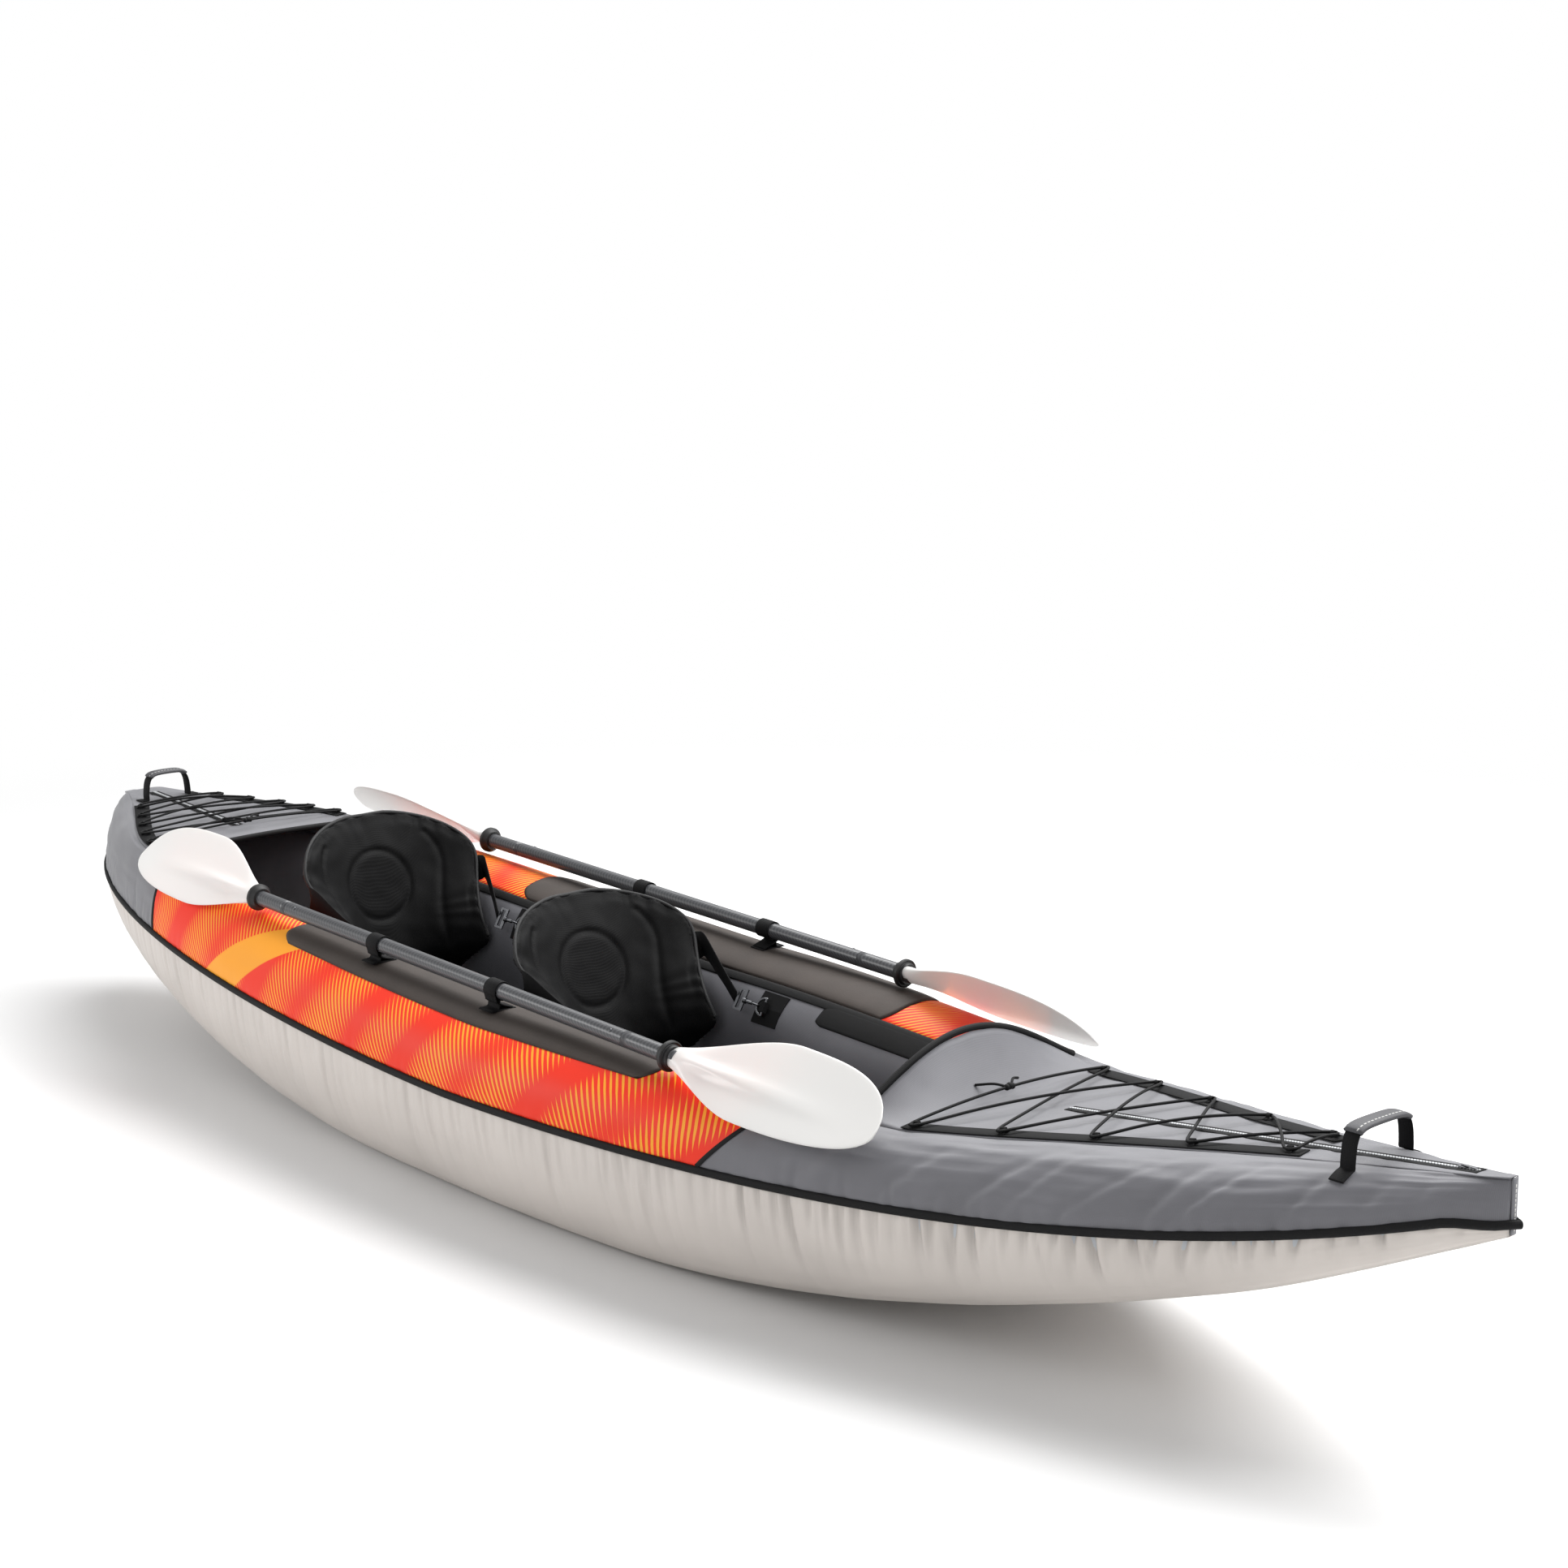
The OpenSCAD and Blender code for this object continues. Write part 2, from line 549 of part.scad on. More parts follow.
module blade(side, x, end) color("whitesmoke") on_paddle(side, x) to_side(side) mirror([end < 0 ? 1 : 0, 0, 0])
    difference() {
        union() {
            translate([joint_x + layer_gap, 0, 0]) rotate([0, 90, 0])
                cylinder(h = stub_end - joint_x - layer_gap, r = shaft_r);
            translate([joint_x - spigot_l, 0, 0]) rotate([0, 90, 0])
                cylinder(h = spigot_l + 10, r = bore_r - spigot_fit);
            translate([stub_end - 4, 0, 0]) rotate([-blade_lean, 0, 0]) loft([for (s = blade_steps) blade_ring(s)]);
        }
        translate([joint_x - spigot_l - 1, 0, 0]) rotate([0, 90, 0])
            cylinder(h = spigot_l + 60, r = spigot_bore);
        radial_button_hole(button_x);
    }

module drip_rings(side, x) color("black") on_paddle(side, x)
    for (end = [-1, 1]) translate([end * drip_x, 0, 0]) rotate([0, end * 90, 0])
        rotate_extrude() difference() {
            polygon([[shaft_r + 0.1, -12], [shaft_r + 5, -12], [drip_d / 2 - 3, -5], [drip_d / 2, -2], [drip_d / 2, 4],
                [drip_d / 2 - 3, 6], [shaft_r + 6, 7], [shaft_r + 4, 12], [shaft_r + 0.1, 12]]);
            translate([shaft_r + 7.5, 6.5]) circle(2.5);
        }

button_rise = 2;
module button(side, x, end) color("silver") on_paddle(side, x) to_side(side)
    translate([end * button_x, 0, 0]) rotate([-button_turn, 0, 0]) rotate_extrude() let (
            collar = 1.2,
            inner = sqrt(pow(spigot_bore, 2) - pow(button_r + collar, 2)) - layer_gap,
            top = shaft_r + button_rise
        ) polygon([[0, inner - 1.5], [button_r + collar, inner - 1.5], [button_r + collar, inner], [button_r, inner],
            [button_r, top - 1.4], [button_r - 0.9, top - 0.4], [0, top]]);

// Seats
seat_aft = 40;
back_edge = 5;
function seat_pitch(x) = atan((floor_top(x - seat_aft) - floor_top(x - seat_aft + seat_l)) / seat_l);
module on_seat(x) translate([x, 0, floor_top(x - seat_aft) - seat_aft * sin(seat_pitch(x)) + layer_gap])
    rotate([0, seat_pitch(x), 0]) children();
hinge_z = seat_t + back_edge * sin(back_lean) + layer_gap;

// Cushion top: crowned, with sides drawn in between the corners and three sewn channels
function cushion_pt(u, v, top) = let (
        draw = 7,
        w = seat_w / 2 - draw * (1 - u * u),
        l = seat_l / 2 - draw * (1 - v * v),
        channel = 5 * pow(abs(cos(270 * u)), 12) * (1 - pow(u, 8)) * (1 - pow(v, 8)),
        crown = seat_crown * ease(-0.75, -0.4, u) * ease(-1, -0.75, -u) * (1 - pow(v, 4))
    ) [seat_l / 2 - seat_aft + u * l, -v * w, top ? seat_t + crown - channel * ease(-0.75, -0.6, u) : 0];
module seat_cushion(x) color("black") on_seat(x) {
    us = [for (k = [-9:9]) k / 9];
    vs = [-1, -0.93, -0.7, -0.35, 0, 0.35, 0.7, 0.93, 1];
    sheet([for (u = us) [for (v = vs) cushion_pt(u, v, true)]], [for (u = us) [for (v = vs) cushion_pt(u, v, false)]]);
}

// Back-rest: a bucket with an arched top, shoulders wider than the foot and wings swept forward beside the cushion
function back_side(v) = mix(back_foot_w, back_w, ease(0.3, 0.76, v)) / 2;
function back_half(v) = back_side(v) * pow(max(0, 1 - pow(max(0, (v - 0.7) / 0.3), 2.4)), 0.5);
function back_reach(v) = ease(0, 0.22, v) * mix(wing_l, shoulder_l, ease(0.2, 0.74, v));
bucket = 2.6;
function back_slope(v, u) = let (t = abs(u) * back_half(v) / back_side(v))
    sign(u) * bucket * back_reach(v) / back_side(v) * pow(t, bucket - 1);
function back_out(v, u) = let (m = back_slope(v, u)) [1, -m, 0] / sqrt(1 + m * m);
function back_pt(v, u, face) = let (
        y = u * back_half(v),
        swell = mix(back_edge, back_t / 2, (1 - pow(u, 2)) * ease(0, 0.25, v) * ease(0, 0.3, 1.02 - v)),
        ring = face > 0 ? 4 * exp(-pow((norm([y, (v - 0.6) * back_h]) - 75) / 14, 2)) : 0
    ) [back_reach(v) * pow(abs(y) / back_side(v), bucket), y, v * back_h] + (face * swell - ring) * back_out(v, u);
back_rows = [0, 0.06, 0.11, 0.16, 0.22, 0.3, 0.38, 0.47, 0.55, 0.63, 0.7, 0.76, 0.82, 0.87, 0.91, 0.945, 0.97, 0.99];
back_columns = [-1, -0.95, -0.84, -0.68, -0.48, -0.24, 0, 0.24, 0.48, 0.68, 0.84, 0.95, 1];
module on_back(x) on_seat(x) translate([0, 0, hinge_z]) rotate([0, -back_lean, 0]) children();
module backrest(x) color("black") on_back(x)
    sheet([for (v = back_rows) [for (u = back_columns) back_pt(v, u, 1)]],
        [for (v = back_rows) [for (u = back_columns) back_pt(v, u, -1)]]);

piping_d = 7;
module back_piping(x) color("dimgray") on_back(x) {
    out = piping_d / 2 + layer_gap;
    n = len(back_rows);
    foot = 5;
    rim = concat([for (v = back_rows) back_pt(v, 1, 0)], [back_pt(back_rows[n - 1], 0, 0)]);
    rise = [for (k = [foot:n - 1]) let (d = rim[k + 1] - rim[k - 1], bend = k == n - 1 ? 1.12 : 1.02)
        rim[k] + bend * out * unit(cross(d, back_out(back_rows[k], 1)))];
    path = concat(rise, [rim[n] + [0, 0, out]], [for (k = [1:len(rise)]) let (p = rise[len(rise) - k]) [p.x, -p.y, p.z]]);
    loft(swept(path, round_section(piping_d, 6), side = [1, 0, 0]));
}

// Seat straps, hooks, rings and their patches
ring_angle = 150;
ring_reach = 240;
function ring_x(x) = x + ring_reach;
module on_wall(x, a, off)
    translate(hull_pt(x, a, off)) rotate([0, 0, wall_turn(x, a)]) rotate([a - 90, 0, 0]) children();
function wall_turn(x, a) = atan((hull_pt(x + 20, a, 0).y - hull_pt(x - 20, a, 0).y) / 40);
patch_half = 34;
patch_t = 2;
patch_gap = 1.5 * layer_gap;
ring_wire = 5;
ring_r = 17;
ring_tilt = 14;
tunnel_h = 11;
patch_angles = [136, 150, 164];
module ring_patches() color("black") both_sides()
    for (seat = [front_seat_x, rear_seat_x]) {
        cover(ring_x(seat) - patch_half, ring_x(seat) + patch_half, patch_angles, patch_gap, patch_gap + patch_t);
        on_wall(ring_x(seat), ring_angle, 2 * layer_gap + patch_t) difference() {
            translate([-6, -10, 0]) cube([12, 20, tunnel_h]);
            translate([0, 0, tunnel_h / 2]) rotate([90, 0, 0]) cylinder(h = 30, r = ring_wire / 2 + 0.2, center = true);
        }
    }

module d_rings() color("silver") both_sides()
    for (seat = [front_seat_x, rear_seat_x])
        on_wall(ring_x(seat), ring_angle, 2 * layer_gap + patch_t) translate([0, 0, tunnel_h / 2])
            rotate([0, ring_tilt, 0]) {
                rotate([90, 0, 0]) cylinder(h = 2 * ring_r, d = ring_wire, center = true);
                rotate([0, 0, 90]) rotate_extrude(angle = 180) translate([ring_r, 0]) circle(d = ring_wire);
                for (end = [-1, 1]) translate([0, end * ring_r, 0]) sphere(d = ring_wire);
            }

// A snap hook: a ring through the D-ring, a swivel barrel and a flat eye for the webbing
link_r = 8;
link_wire = 3;
eye_w = 44;
hook_l = 46;
link_x = -ring_r - (link_r - link_wire / 2 - ring_wire / 2 - layer_gap);
module strap_hook() {
    rotate([90, 0, 0]) rotate_extrude() translate([link_r, 0]) circle(d = link_wire);
    translate([-link_r - 1, 0, 0]) rotate([0, -90, 0]) cylinder(h = 16, d = 7);
    translate([-link_r - 15, 0, 0]) rotate([0, -90, 0]) cylinder(h = 6, d = 11);
    translate([-hook_l, -eye_w / 2, -2]) difference() {
        cube([hook_l - link_r - 18, eye_w, 4]);
        translate([5, 4, -1]) cube([8, eye_w - 8, 6]);
    }
}
module strap_hooks() color("silver") both_sides()
    for (seat = [front_seat_x, rear_seat_x])
        on_wall(ring_x(seat), ring_angle, 2 * layer_gap + patch_t) translate([0, 0, tunnel_h / 2])
            rotate([0, ring_tilt, 0]) translate([link_x, 0, 0]) strap_hook();

// Webbing from behind the back-rest, round its edge and on to the hook
seat_strap_w = 36;
seat_strap_t = 1.5;
shoulder_v = 0.6;
strap_off = 13.5;
function seat_strap_path(x) = let (
        p = seat_pitch(x),
        z0 = floor_top(x - seat_aft) - seat_aft * sin(p) + layer_gap,
        lean = back_lean - p,
        place = function(q) [x + hinge_z * sin(p) + q.x * cos(lean) - q.z * sin(lean), q.y,
            z0 + hinge_z * cos(p) + q.x * sin(lean) + q.z * cos(lean)],
        rear = back_pt(shoulder_v, 0.8, -1),
        edge = back_pt(shoulder_v, 1, 0),
        away = -back_out(shoulder_v, 1),
        along = [away.y, -away.x, 0],
        clear = piping_d / 2 + 3 * layer_gap + seat_strap_t,
        reach = hook_l - link_x + 1.4,
        rise = 2 * layer_gap + patch_t + tunnel_h / 2 + reach * sin(ring_tilt),
        turn = wall_turn(ring_x(x), ring_angle),
        eye = hull_pt(ring_x(x), ring_angle, 0) - reach * cos(ring_tilt) * [cos(turn), sin(turn), 0]
            + rise * [sin(turn), cos(ring_angle), sin(ring_angle)],
        front = place(edge + 22 * along + (clear + 3) * away - [0, 0, 4])
    ) [
        place(rear - (seat_strap_t / 2 + strap_off) * back_out(shoulder_v, 0.8)),
        place(edge + (clear + strap_off) * away),
        front,
        mix(front, eye, 0.5) + [0, 7, -3],
        eye
    ];
module seat_straps(x) color("black") both_sides()
    loft(swept(seat_strap_path(x), flat_section(seat_strap_t, seat_strap_w)));

// Valves: flange and cup, sprung plunger, turned cap
valve_x = -1040;
valve_angle = 171;
floor_valve_x = -1132;
cup_r = 24;
cup_h = 12;
stem_r = 3;
stem_fit = 0.05;
hub_top = 7;
bore_floor = 1;
module on_floor(x) translate([x, 0, floor_top(x) + layer_gap])
    rotate([0, -atan((floor_top(x + 5) - floor_top(x - 5)) / 10), 0]) children();
module valve_body() rotate_extrude() difference() {
    union() {
        square([valve_r, 2.5]);
        square([cup_r, cup_h]);
    }
    translate([0, bore_floor]) square([stem_r + stem_fit, cup_h]);
    translate([8, 4]) square([cup_r - 8 - 5, cup_h]);
    translate([0, hub_top]) square([cup_r - 5, cup_h]);
}
module valve_plunger() {
    stem_z = bore_floor + plunger_travel + layer_gap;
    translate([0, 0, stem_z]) cylinder(h = hub_top + plunger_travel + 1 - stem_z, r = stem_r);
    translate([0, 0, hub_top + plunger_travel + 0.4]) cylinder(h = 1.6, r = 9);
}
module valve_cap() {
    rotate_extrude() difference() {
        polygon([[0, 2.8], [cup_r + 3, 2.8], [cup_r + 3, 14], [cup_r + 1.5, 15.5], [0, 15.5]]);
        square([cup_r + layer_gap, cup_h + 1]);
    }
    translate([-cup_r + 3, -4, 15]) cube([2 * cup_r - 6, 8, 5]);
}
module side_valve(side) to_side(side) on_wall(valve_x, valve_angle, 1.5 * layer_gap) children();
module valve_bodies() color("dimgray") {
    for (side = [-1, 1]) side_valve(side) valve_body();
    on_floor(floor_valve_x) valve_body();
}

// Fin box on the bottom, with its slot open downwards and aft
fin_box_x = -1380;
module fin_box() color("dimgray") {
    slope = (keel_z(fin_box_x + 50) - keel_z(fin_box_x - 50)) / 100;
    h = 20;
    w = 36;
    translate([fin_box_x, 0, keel_z(fin_box_x)]) rotate([0, -atan(slope), 0]) translate([0, 0, -layer_gap - h])
        difference() {
            union() {
                translate([-fin_box_l / 2, -w / 2, 0]) cube([fin_box_l, w, h]);
                translate([-fin_box_l / 2 - 15, -w, h - 2]) cube([fin_box_l + 30, 2 * w, 2]);
            }
            translate([-fin_box_l / 2 - 1, -fin_slot_w / 2, -1]) cube([fin_box_l - 20, fin_slot_w, h - 4]);
            translate([-fin_box_l / 2 + 25, 0, h / 2]) rotate([90, 0, 0]) cylinder(h = w + 2, r = 3, center = true);
        }
}

bottom_panel();
lower_side(1);  // port_lower_side
lower_side(-1);  // starboard_lower_side
side_panel(1);  // port_side_panel
side_panel(-1);  // starboard_side_panel
bow_cover();
stern_cover();
bow_deck();
stern_deck();
inner_wall(1);  // port_inner_wall
inner_wall(-1);  // starboard_inner_wall
bladder(1);  // port_bladder
bladder(-1);  // starboard_bladder
inflatable_floor();
seam_piping();
nose_bindings();
deck_coamings();
deck_webbing();
cord_loops();
bungee(bow_lace);  // bow_bungee
bungee(stern_lace);  // stern_bungee
deck_zips();
handle_straps();
handle_grips();
side_pads();
paddle_straps();
seat_cushion(front_seat_x);  // front_seat_cushion
seat_cushion(rear_seat_x);  // rear_seat_cushion
seat_straps(front_seat_x);  // front_seat_straps
seat_straps(rear_seat_x);  // rear_seat_straps
strap_hooks();
ring_patches();
d_rings();
valve_bodies();
fin_box();
inner_flaps();
backrest(front_seat_x);  // front_backrest
back_piping(front_seat_x);  // front_back_piping
backrest(rear_seat_x);  // rear_backrest
back_piping(rear_seat_x);  // rear_back_piping
shaft(1, port_paddle_x);  // port_shaft
blade(1, port_paddle_x, 1);  // port_bow_blade
blade(1, port_paddle_x, -1);  // port_stern_blade
drip_rings(1, port_paddle_x);  // port_drip_rings
shaft(-1, starboard_paddle_x);  // starboard_shaft
blade(-1, starboard_paddle_x, 1);  // starboard_bow_blade
blade(-1, starboard_paddle_x, -1);  // starboard_stern_blade
drip_rings(-1, starboard_paddle_x);  // starboard_drip_rings
button(1, port_paddle_x, 1);  // port_bow_button
button(1, port_paddle_x, -1);  // port_stern_button
button(-1, starboard_paddle_x, 1);  // starboard_bow_button
button(-1, starboard_paddle_x, -1);  // starboard_stern_button
zip_slider(bow_zip[1] - 30);  // bow_zip_slider
zip_slider(stern_zip[0] - 30);  // stern_zip_slider
color("dimgray") side_valve(1) valve_cap();  // port_valve_cap
color("dimgray") side_valve(-1) valve_cap();  // starboard_valve_cap
color("dimgray") on_floor(floor_valve_x) valve_cap();  // floor_valve_cap
color("white") side_valve(1) valve_plunger();  // port_valve_plunger
color("white") side_valve(-1) valve_plunger();  // starboard_valve_plunger
color("white") on_floor(floor_valve_x) valve_plunger();  // floor_valve_plunger
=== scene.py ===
"""Inflatable tandem kayak: fabric skins, padded seats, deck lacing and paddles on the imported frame."""

import json
import math

import bmesh
import bpy
from bpy.props import FloatProperty, FloatVectorProperty, PointerProperty
from mathutils import Matrix, Vector, noise


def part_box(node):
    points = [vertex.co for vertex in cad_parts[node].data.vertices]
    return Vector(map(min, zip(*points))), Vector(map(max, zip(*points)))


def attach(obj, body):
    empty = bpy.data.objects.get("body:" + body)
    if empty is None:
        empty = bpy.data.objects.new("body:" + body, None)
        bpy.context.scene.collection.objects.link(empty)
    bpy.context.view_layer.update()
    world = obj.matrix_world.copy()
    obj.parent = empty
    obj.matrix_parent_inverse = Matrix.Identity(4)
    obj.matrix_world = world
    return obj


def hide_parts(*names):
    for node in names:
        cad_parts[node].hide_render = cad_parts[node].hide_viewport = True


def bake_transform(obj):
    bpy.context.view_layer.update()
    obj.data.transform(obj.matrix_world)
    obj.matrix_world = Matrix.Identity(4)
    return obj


bl_info = {
    "name": "Inflatable Tandem Kayak",
    "version": (1, 0, 0),
    "blender": (4, 5, 0),
    "location": "3D View > Sidebar > Kayak",
    "description": "Dresses the packed kayak with fabric skins, seats, lacing and paddles",
    "category": "Object",
}

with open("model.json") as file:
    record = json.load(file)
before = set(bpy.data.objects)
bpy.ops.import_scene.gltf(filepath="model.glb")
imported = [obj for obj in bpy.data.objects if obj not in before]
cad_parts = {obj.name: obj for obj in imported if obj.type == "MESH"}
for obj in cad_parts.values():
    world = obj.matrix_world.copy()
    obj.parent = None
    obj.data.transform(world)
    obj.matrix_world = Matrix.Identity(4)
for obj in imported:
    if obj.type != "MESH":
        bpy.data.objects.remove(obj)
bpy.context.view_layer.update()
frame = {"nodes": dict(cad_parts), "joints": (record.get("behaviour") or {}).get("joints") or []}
NODES = frame["nodes"]

# Hull lines in metres, the same as those of the solids but for the soft tucks at the tips
HALF_L = 1.95
COVER_END = 1.944
HALF_W = 0.45
SIDE_H = 0.365
SEAM_H = 0.235
TUBE_IN = 0.14
BOW_PANEL_X = 0.64
STERN_PANEL_X = -1.24
BOW_DECK_X = 0.884
STERN_DECK_X = -1.31
GUARD_L = 0.078
GUARD_H = 0.095
TIP_SHARE = 0.955
NOSE_DIP = 0.018
NOSE_TUCK = 0.02
STERN_DROP = 0.018
TIP_X = 1.956
BLADDER_END = 1.86
# Share of the half beam where the bottom meets the lower sides
CHINE = 0.7
# Height of the decks' cloth over the crest
DECK_LIFT = 0.0024
# Distance under which two points become one
MERGE = 1e-5
SIDES = ((1, "port"), (-1, "starboard"))
BLADDERS = ["port_bladder", "starboard_bladder"]


def ease(a, b, t):
    """Smooth step from 0 at a to 1 at b."""
    u = min(1.0, max(0.0, (t - a) / (b - a)))
    return u * u * (3 - 2 * u)


def mix(a, b, u):
    """Value between a and b."""
    return a + (b - a) * u


def reach(x):
    """Share of the way from amidships to an end."""
    return min(1.0, abs(x) / HALF_L)


def half_beam(x):
    """Half breadth at the seam."""
    full, taper = (1.66, 0.755) if x > 0 else (2.24, 0.614)
    return HALF_W * max(0.0, 1 - reach(x) ** full) ** taper


def seam_z(x):
    """Height of the side seam."""
    if x > 0:
        return SEAM_H + 0.18 * reach(x) ** 3.4 - NOSE_DIP * ease(TIP_SHARE, 1, reach(x))
    return SEAM_H + 0.095 * reach(x) ** 1.3


def crest_z(x):
    """Height of the tube's crest."""
    if x > 0:
        return SIDE_H - 0.015 * ease(0, 0.98, x) + max(0.0, x - 0.98) * 0.115
    return SIDE_H + 0.1 * reach(x) ** 1.1 - STERN_DROP * ease(TIP_SHARE, 1, reach(x))


def keel_z(x):
    """Height of the bottom."""
    rise, tuck = (0.36, NOSE_TUCK) if x > 0 else (0.285, 0.0)
    return rise * max(0.0, (reach(x) - 0.2) / 0.8) ** 1.7 + tuck * ease(0.8, 1, reach(x))


def crest_y(x):
    """Half breadth at the crest."""
    t = reach(x)
    if x > 0:
        share = mix(0.7, 0.25, ease(0.45, 1, t))
    else:
        share = mix(0.7, 0.83, ease(0.25, 0.7, t)) - 0.55 * ease(0.72, 1.05, t)
    return share * half_beam(x)


def wall_y(x):
    """Half breadth at the cockpit wall."""
    return crest_y(x) - max(0.001, min(TUBE_IN, crest_y(x) - 0.005))


def hull(x, a, off=0.0):
    """Point of the port tube's skin: a is 0 at the seam, 90 at the crest, 180 at the cockpit wall."""
    c, s = math.cos(math.radians(a)), math.sin(math.radians(a))
    y0 = crest_y(x) if s > 0 else CHINE * half_beam(x)
    ry = half_beam(x) - y0 if c > 0 else y0 - wall_y(x)
    rz = crest_z(x) - seam_z(x) if s > 0 else seam_z(x) - keel_z(x)
    return Vector((x, y0 + (ry + off) * c, seam_z(x) + (rz + off) * s))


def lean_x(x, a):
    """Station moved forward up the side, as the bow seam of the side panel leans."""
    return x + 0.11 * math.exp(-(((x - BOW_PANEL_X) / 0.35) ** 2)) * max(0.0, math.sin(math.radians(a)))


def deck_z(x, v):
    """Height of a deck's cloth: v runs from -1 to 1 across it."""
    if x > 0:
        guard = GUARD_H * max(0.0, 1 - (x - BOW_DECK_X) / GUARD_L) ** 1.3
    else:
        guard = 0.008 * max(0.0, 1 - (STERN_DECK_X - x) / GUARD_L) ** 1.3
    return crest_z(x) + DECK_LIFT + guard * max(0.0, math.cos(math.pi / 2 * v)) ** 1.1


def crinkle(p, size, seed=0.0):
    """Soft random dents of about the given size, from -1 to 1."""
    return noise.noise(Vector(p) / size + Vector((seed, 0, 0)))


# Mesh helpers


def linear(hex_code):
    """sRGB hex to linear colour with alpha."""
    parts = [int(hex_code[i : i + 2], 16) / 255 for i in (1, 3, 5)]
    return tuple(c / 12.92 if c <= 0.04045 else ((c + 0.055) / 1.055) ** 2.4 for c in parts) + (1.0,)


def keep(bm, name, material, body="hull", nodes=(), smooth=True):
    """Turn a bmesh into a piece that rides on a body and stands for CAD nodes."""
    mesh = bpy.data.meshes.new(name)
    bm.to_mesh(mesh)
    bm.free()
    mesh.polygons.foreach_set("use_smooth", [smooth] * len(mesh.polygons))
    obj = bpy.data.objects.new(name, mesh)
    bpy.context.scene.collection.objects.link(obj)
    mesh.materials.append(material)
    if body:
        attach(obj, body)
    if nodes:
        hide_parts(*nodes)
    return obj


def grid(bm, nu, nv, place, flip=False, uv=None):
    """A grid of nu by nv quads whose points a formula places. uv gives metres along and across the cloth."""
    layer = bm.loops.layers.uv.verify()
    verts = bmesh.ops.create_grid(bm, x_segments=nu, y_segments=nv, size=0.5)["verts"]
    spots = {v: (v.co.x + 0.5, v.co.y + 0.5) for v in verts}
    faces = {f for v in verts for f in v.link_faces}
    for f in faces:
        for loop in f.loops:
            s, t = spots[loop.vert]
            loop[layer].uv = uv(s, t) if uv else (s, t)
    for v, (s, t) in spots.items():
        v.co = place(s, t)
    if flip:
        bmesh.ops.reverse_faces(bm, faces=list(faces))


def thicken(obj, thickness, offset=-1.0):
    """Give a skin its cloth thickness."""
    mod = obj.modifiers.new("cloth thickness", "SOLIDIFY")
    mod.thickness = thickness
    mod.offset = offset


def path_frames(path, loop, side=None):
    """Tangent, side and normal at each point of a path."""
    n = len(path)
    out = []
    for i in range(n):
        a = path[(i - 1) % n] if loop else path[max(i - 1, 0)]
        b = path[(i + 1) % n] if loop else path[min(i + 1, n - 1)]
        t = (b - a).normalized()
        s = Vector(side) if side else Vector((0, 0, 1)).cross(t).normalized()
        out.append((t, s, t.cross(s)))
    return out


def sweep(bm, path, section, loop=False, side=None):
    """Carry a closed section of (side, normal) points along a path. UV is metres along and round it."""
    layer = bm.loops.layers.uv.verify()
    girth = [0.0]
    for a, b in zip(section, section[1:] + section[:1]):
        girth.append(girth[-1] + math.dist(a, b))
    rings = []
    for p, (_, s, n) in zip(path, path_frames(path, loop, side)):
        rings.append([bm.verts.new(p + q[0] * s + q[1] * n) for q in section])
    run = 0.0
    m = len(section)
    for i in range(len(path) if loop else len(path) - 1):
        a, b = rings[i], rings[(i + 1) % len(rings)]
        step = (path[(i + 1) % len(path)] - path[i]).length
        for j in range(m):
            k = (j + 1) % m
            f = bm.faces.new((a[j], a[k], b[k], b[j]))
            spots = ((run, girth[j]), (run, girth[j + 1]), (run + step, girth[j + 1]), (run + step, girth[j]))
            for corner, uv in zip(f.loops, spots):
                corner[layer].uv = uv
        run += step
    if not loop:
        bm.faces.new(list(reversed(rings[0])))
        bm.faces.new(rings[-1])


def skin_rings(bm, rings):
    """Join rings of points to a tube with closed ends."""
    for a, b in zip(rings, rings[1:]):
        for j in range(len(a)):
            k = (j + 1) % len(a)
            bm.faces.new((a[j], a[k], b[k], b[j]))
    bm.faces.new(rings[0])
    bm.faces.new(rings[-1])


def block(bm, size, place):
    """A box of the given size at a place, as its points."""
    verts = bmesh.ops.create_cube(bm, size=1.0)["verts"]
    bmesh.ops.scale(bm, verts=verts, vec=size)
    bmesh.ops.translate(bm, verts=verts, vec=place)
    return verts


def circle_section(d, sides=12):
    """Points of a round section."""
    turns = [2 * math.pi * k / sides for k in range(sides)]
    return [(d / 2 * math.cos(g), d / 2 * math.sin(g)) for g in turns]


def strap_section(w, t):
    """Points of a flat strap with rounded edges, w wide and t thick."""
    r = t * 0.35
    a, b = w / 2, t / 2
    return [(a, -b + r), (a, b - r), (a - r, b), (0.0, b), (-a + r, b),
            (-a, b - r), (-a, -b + r), (-a + r, -b), (0.0, -b), (a - r, -b)]


def smooth_path(points, steps=8, loop=False):
    """A curve through the given points."""
    n = len(points)
    out = []
    for i in range(n if loop else n - 1):
        p1, p2 = points[i], points[(i + 1) % n]
        p0 = points[(i - 1) % n] if loop or i > 0 else p1 + (p1 - p2)
        p3 = points[(i + 2) % n] if loop or i + 2 < n else p2 + (p2 - p1)
        for k in range(steps):
            u = k / steps
            out.append(0.5 * (2 * p1 + (p2 - p0) * u + (2 * p0 - 5 * p1 + 4 * p2 - p3) * u * u
                              + (3 * p1 - p0 - 3 * p2 + p3) * u**3))
    if not loop:
        out.append(points[-1].copy())
    return out


def on_side(p, side):
    """A point of the port side as it is (1), or on the starboard side (-1)."""
    return Vector((p.x, side * p.y, p.z))


def closed(bm):
    """Merge doubles and turn all faces outwards."""
    bmesh.ops.remove_doubles(bm, verts=bm.verts[:], dist=MERGE)
    bmesh.ops.recalc_face_normals(bm, faces=bm.faces[:])
    return bm


# Materials


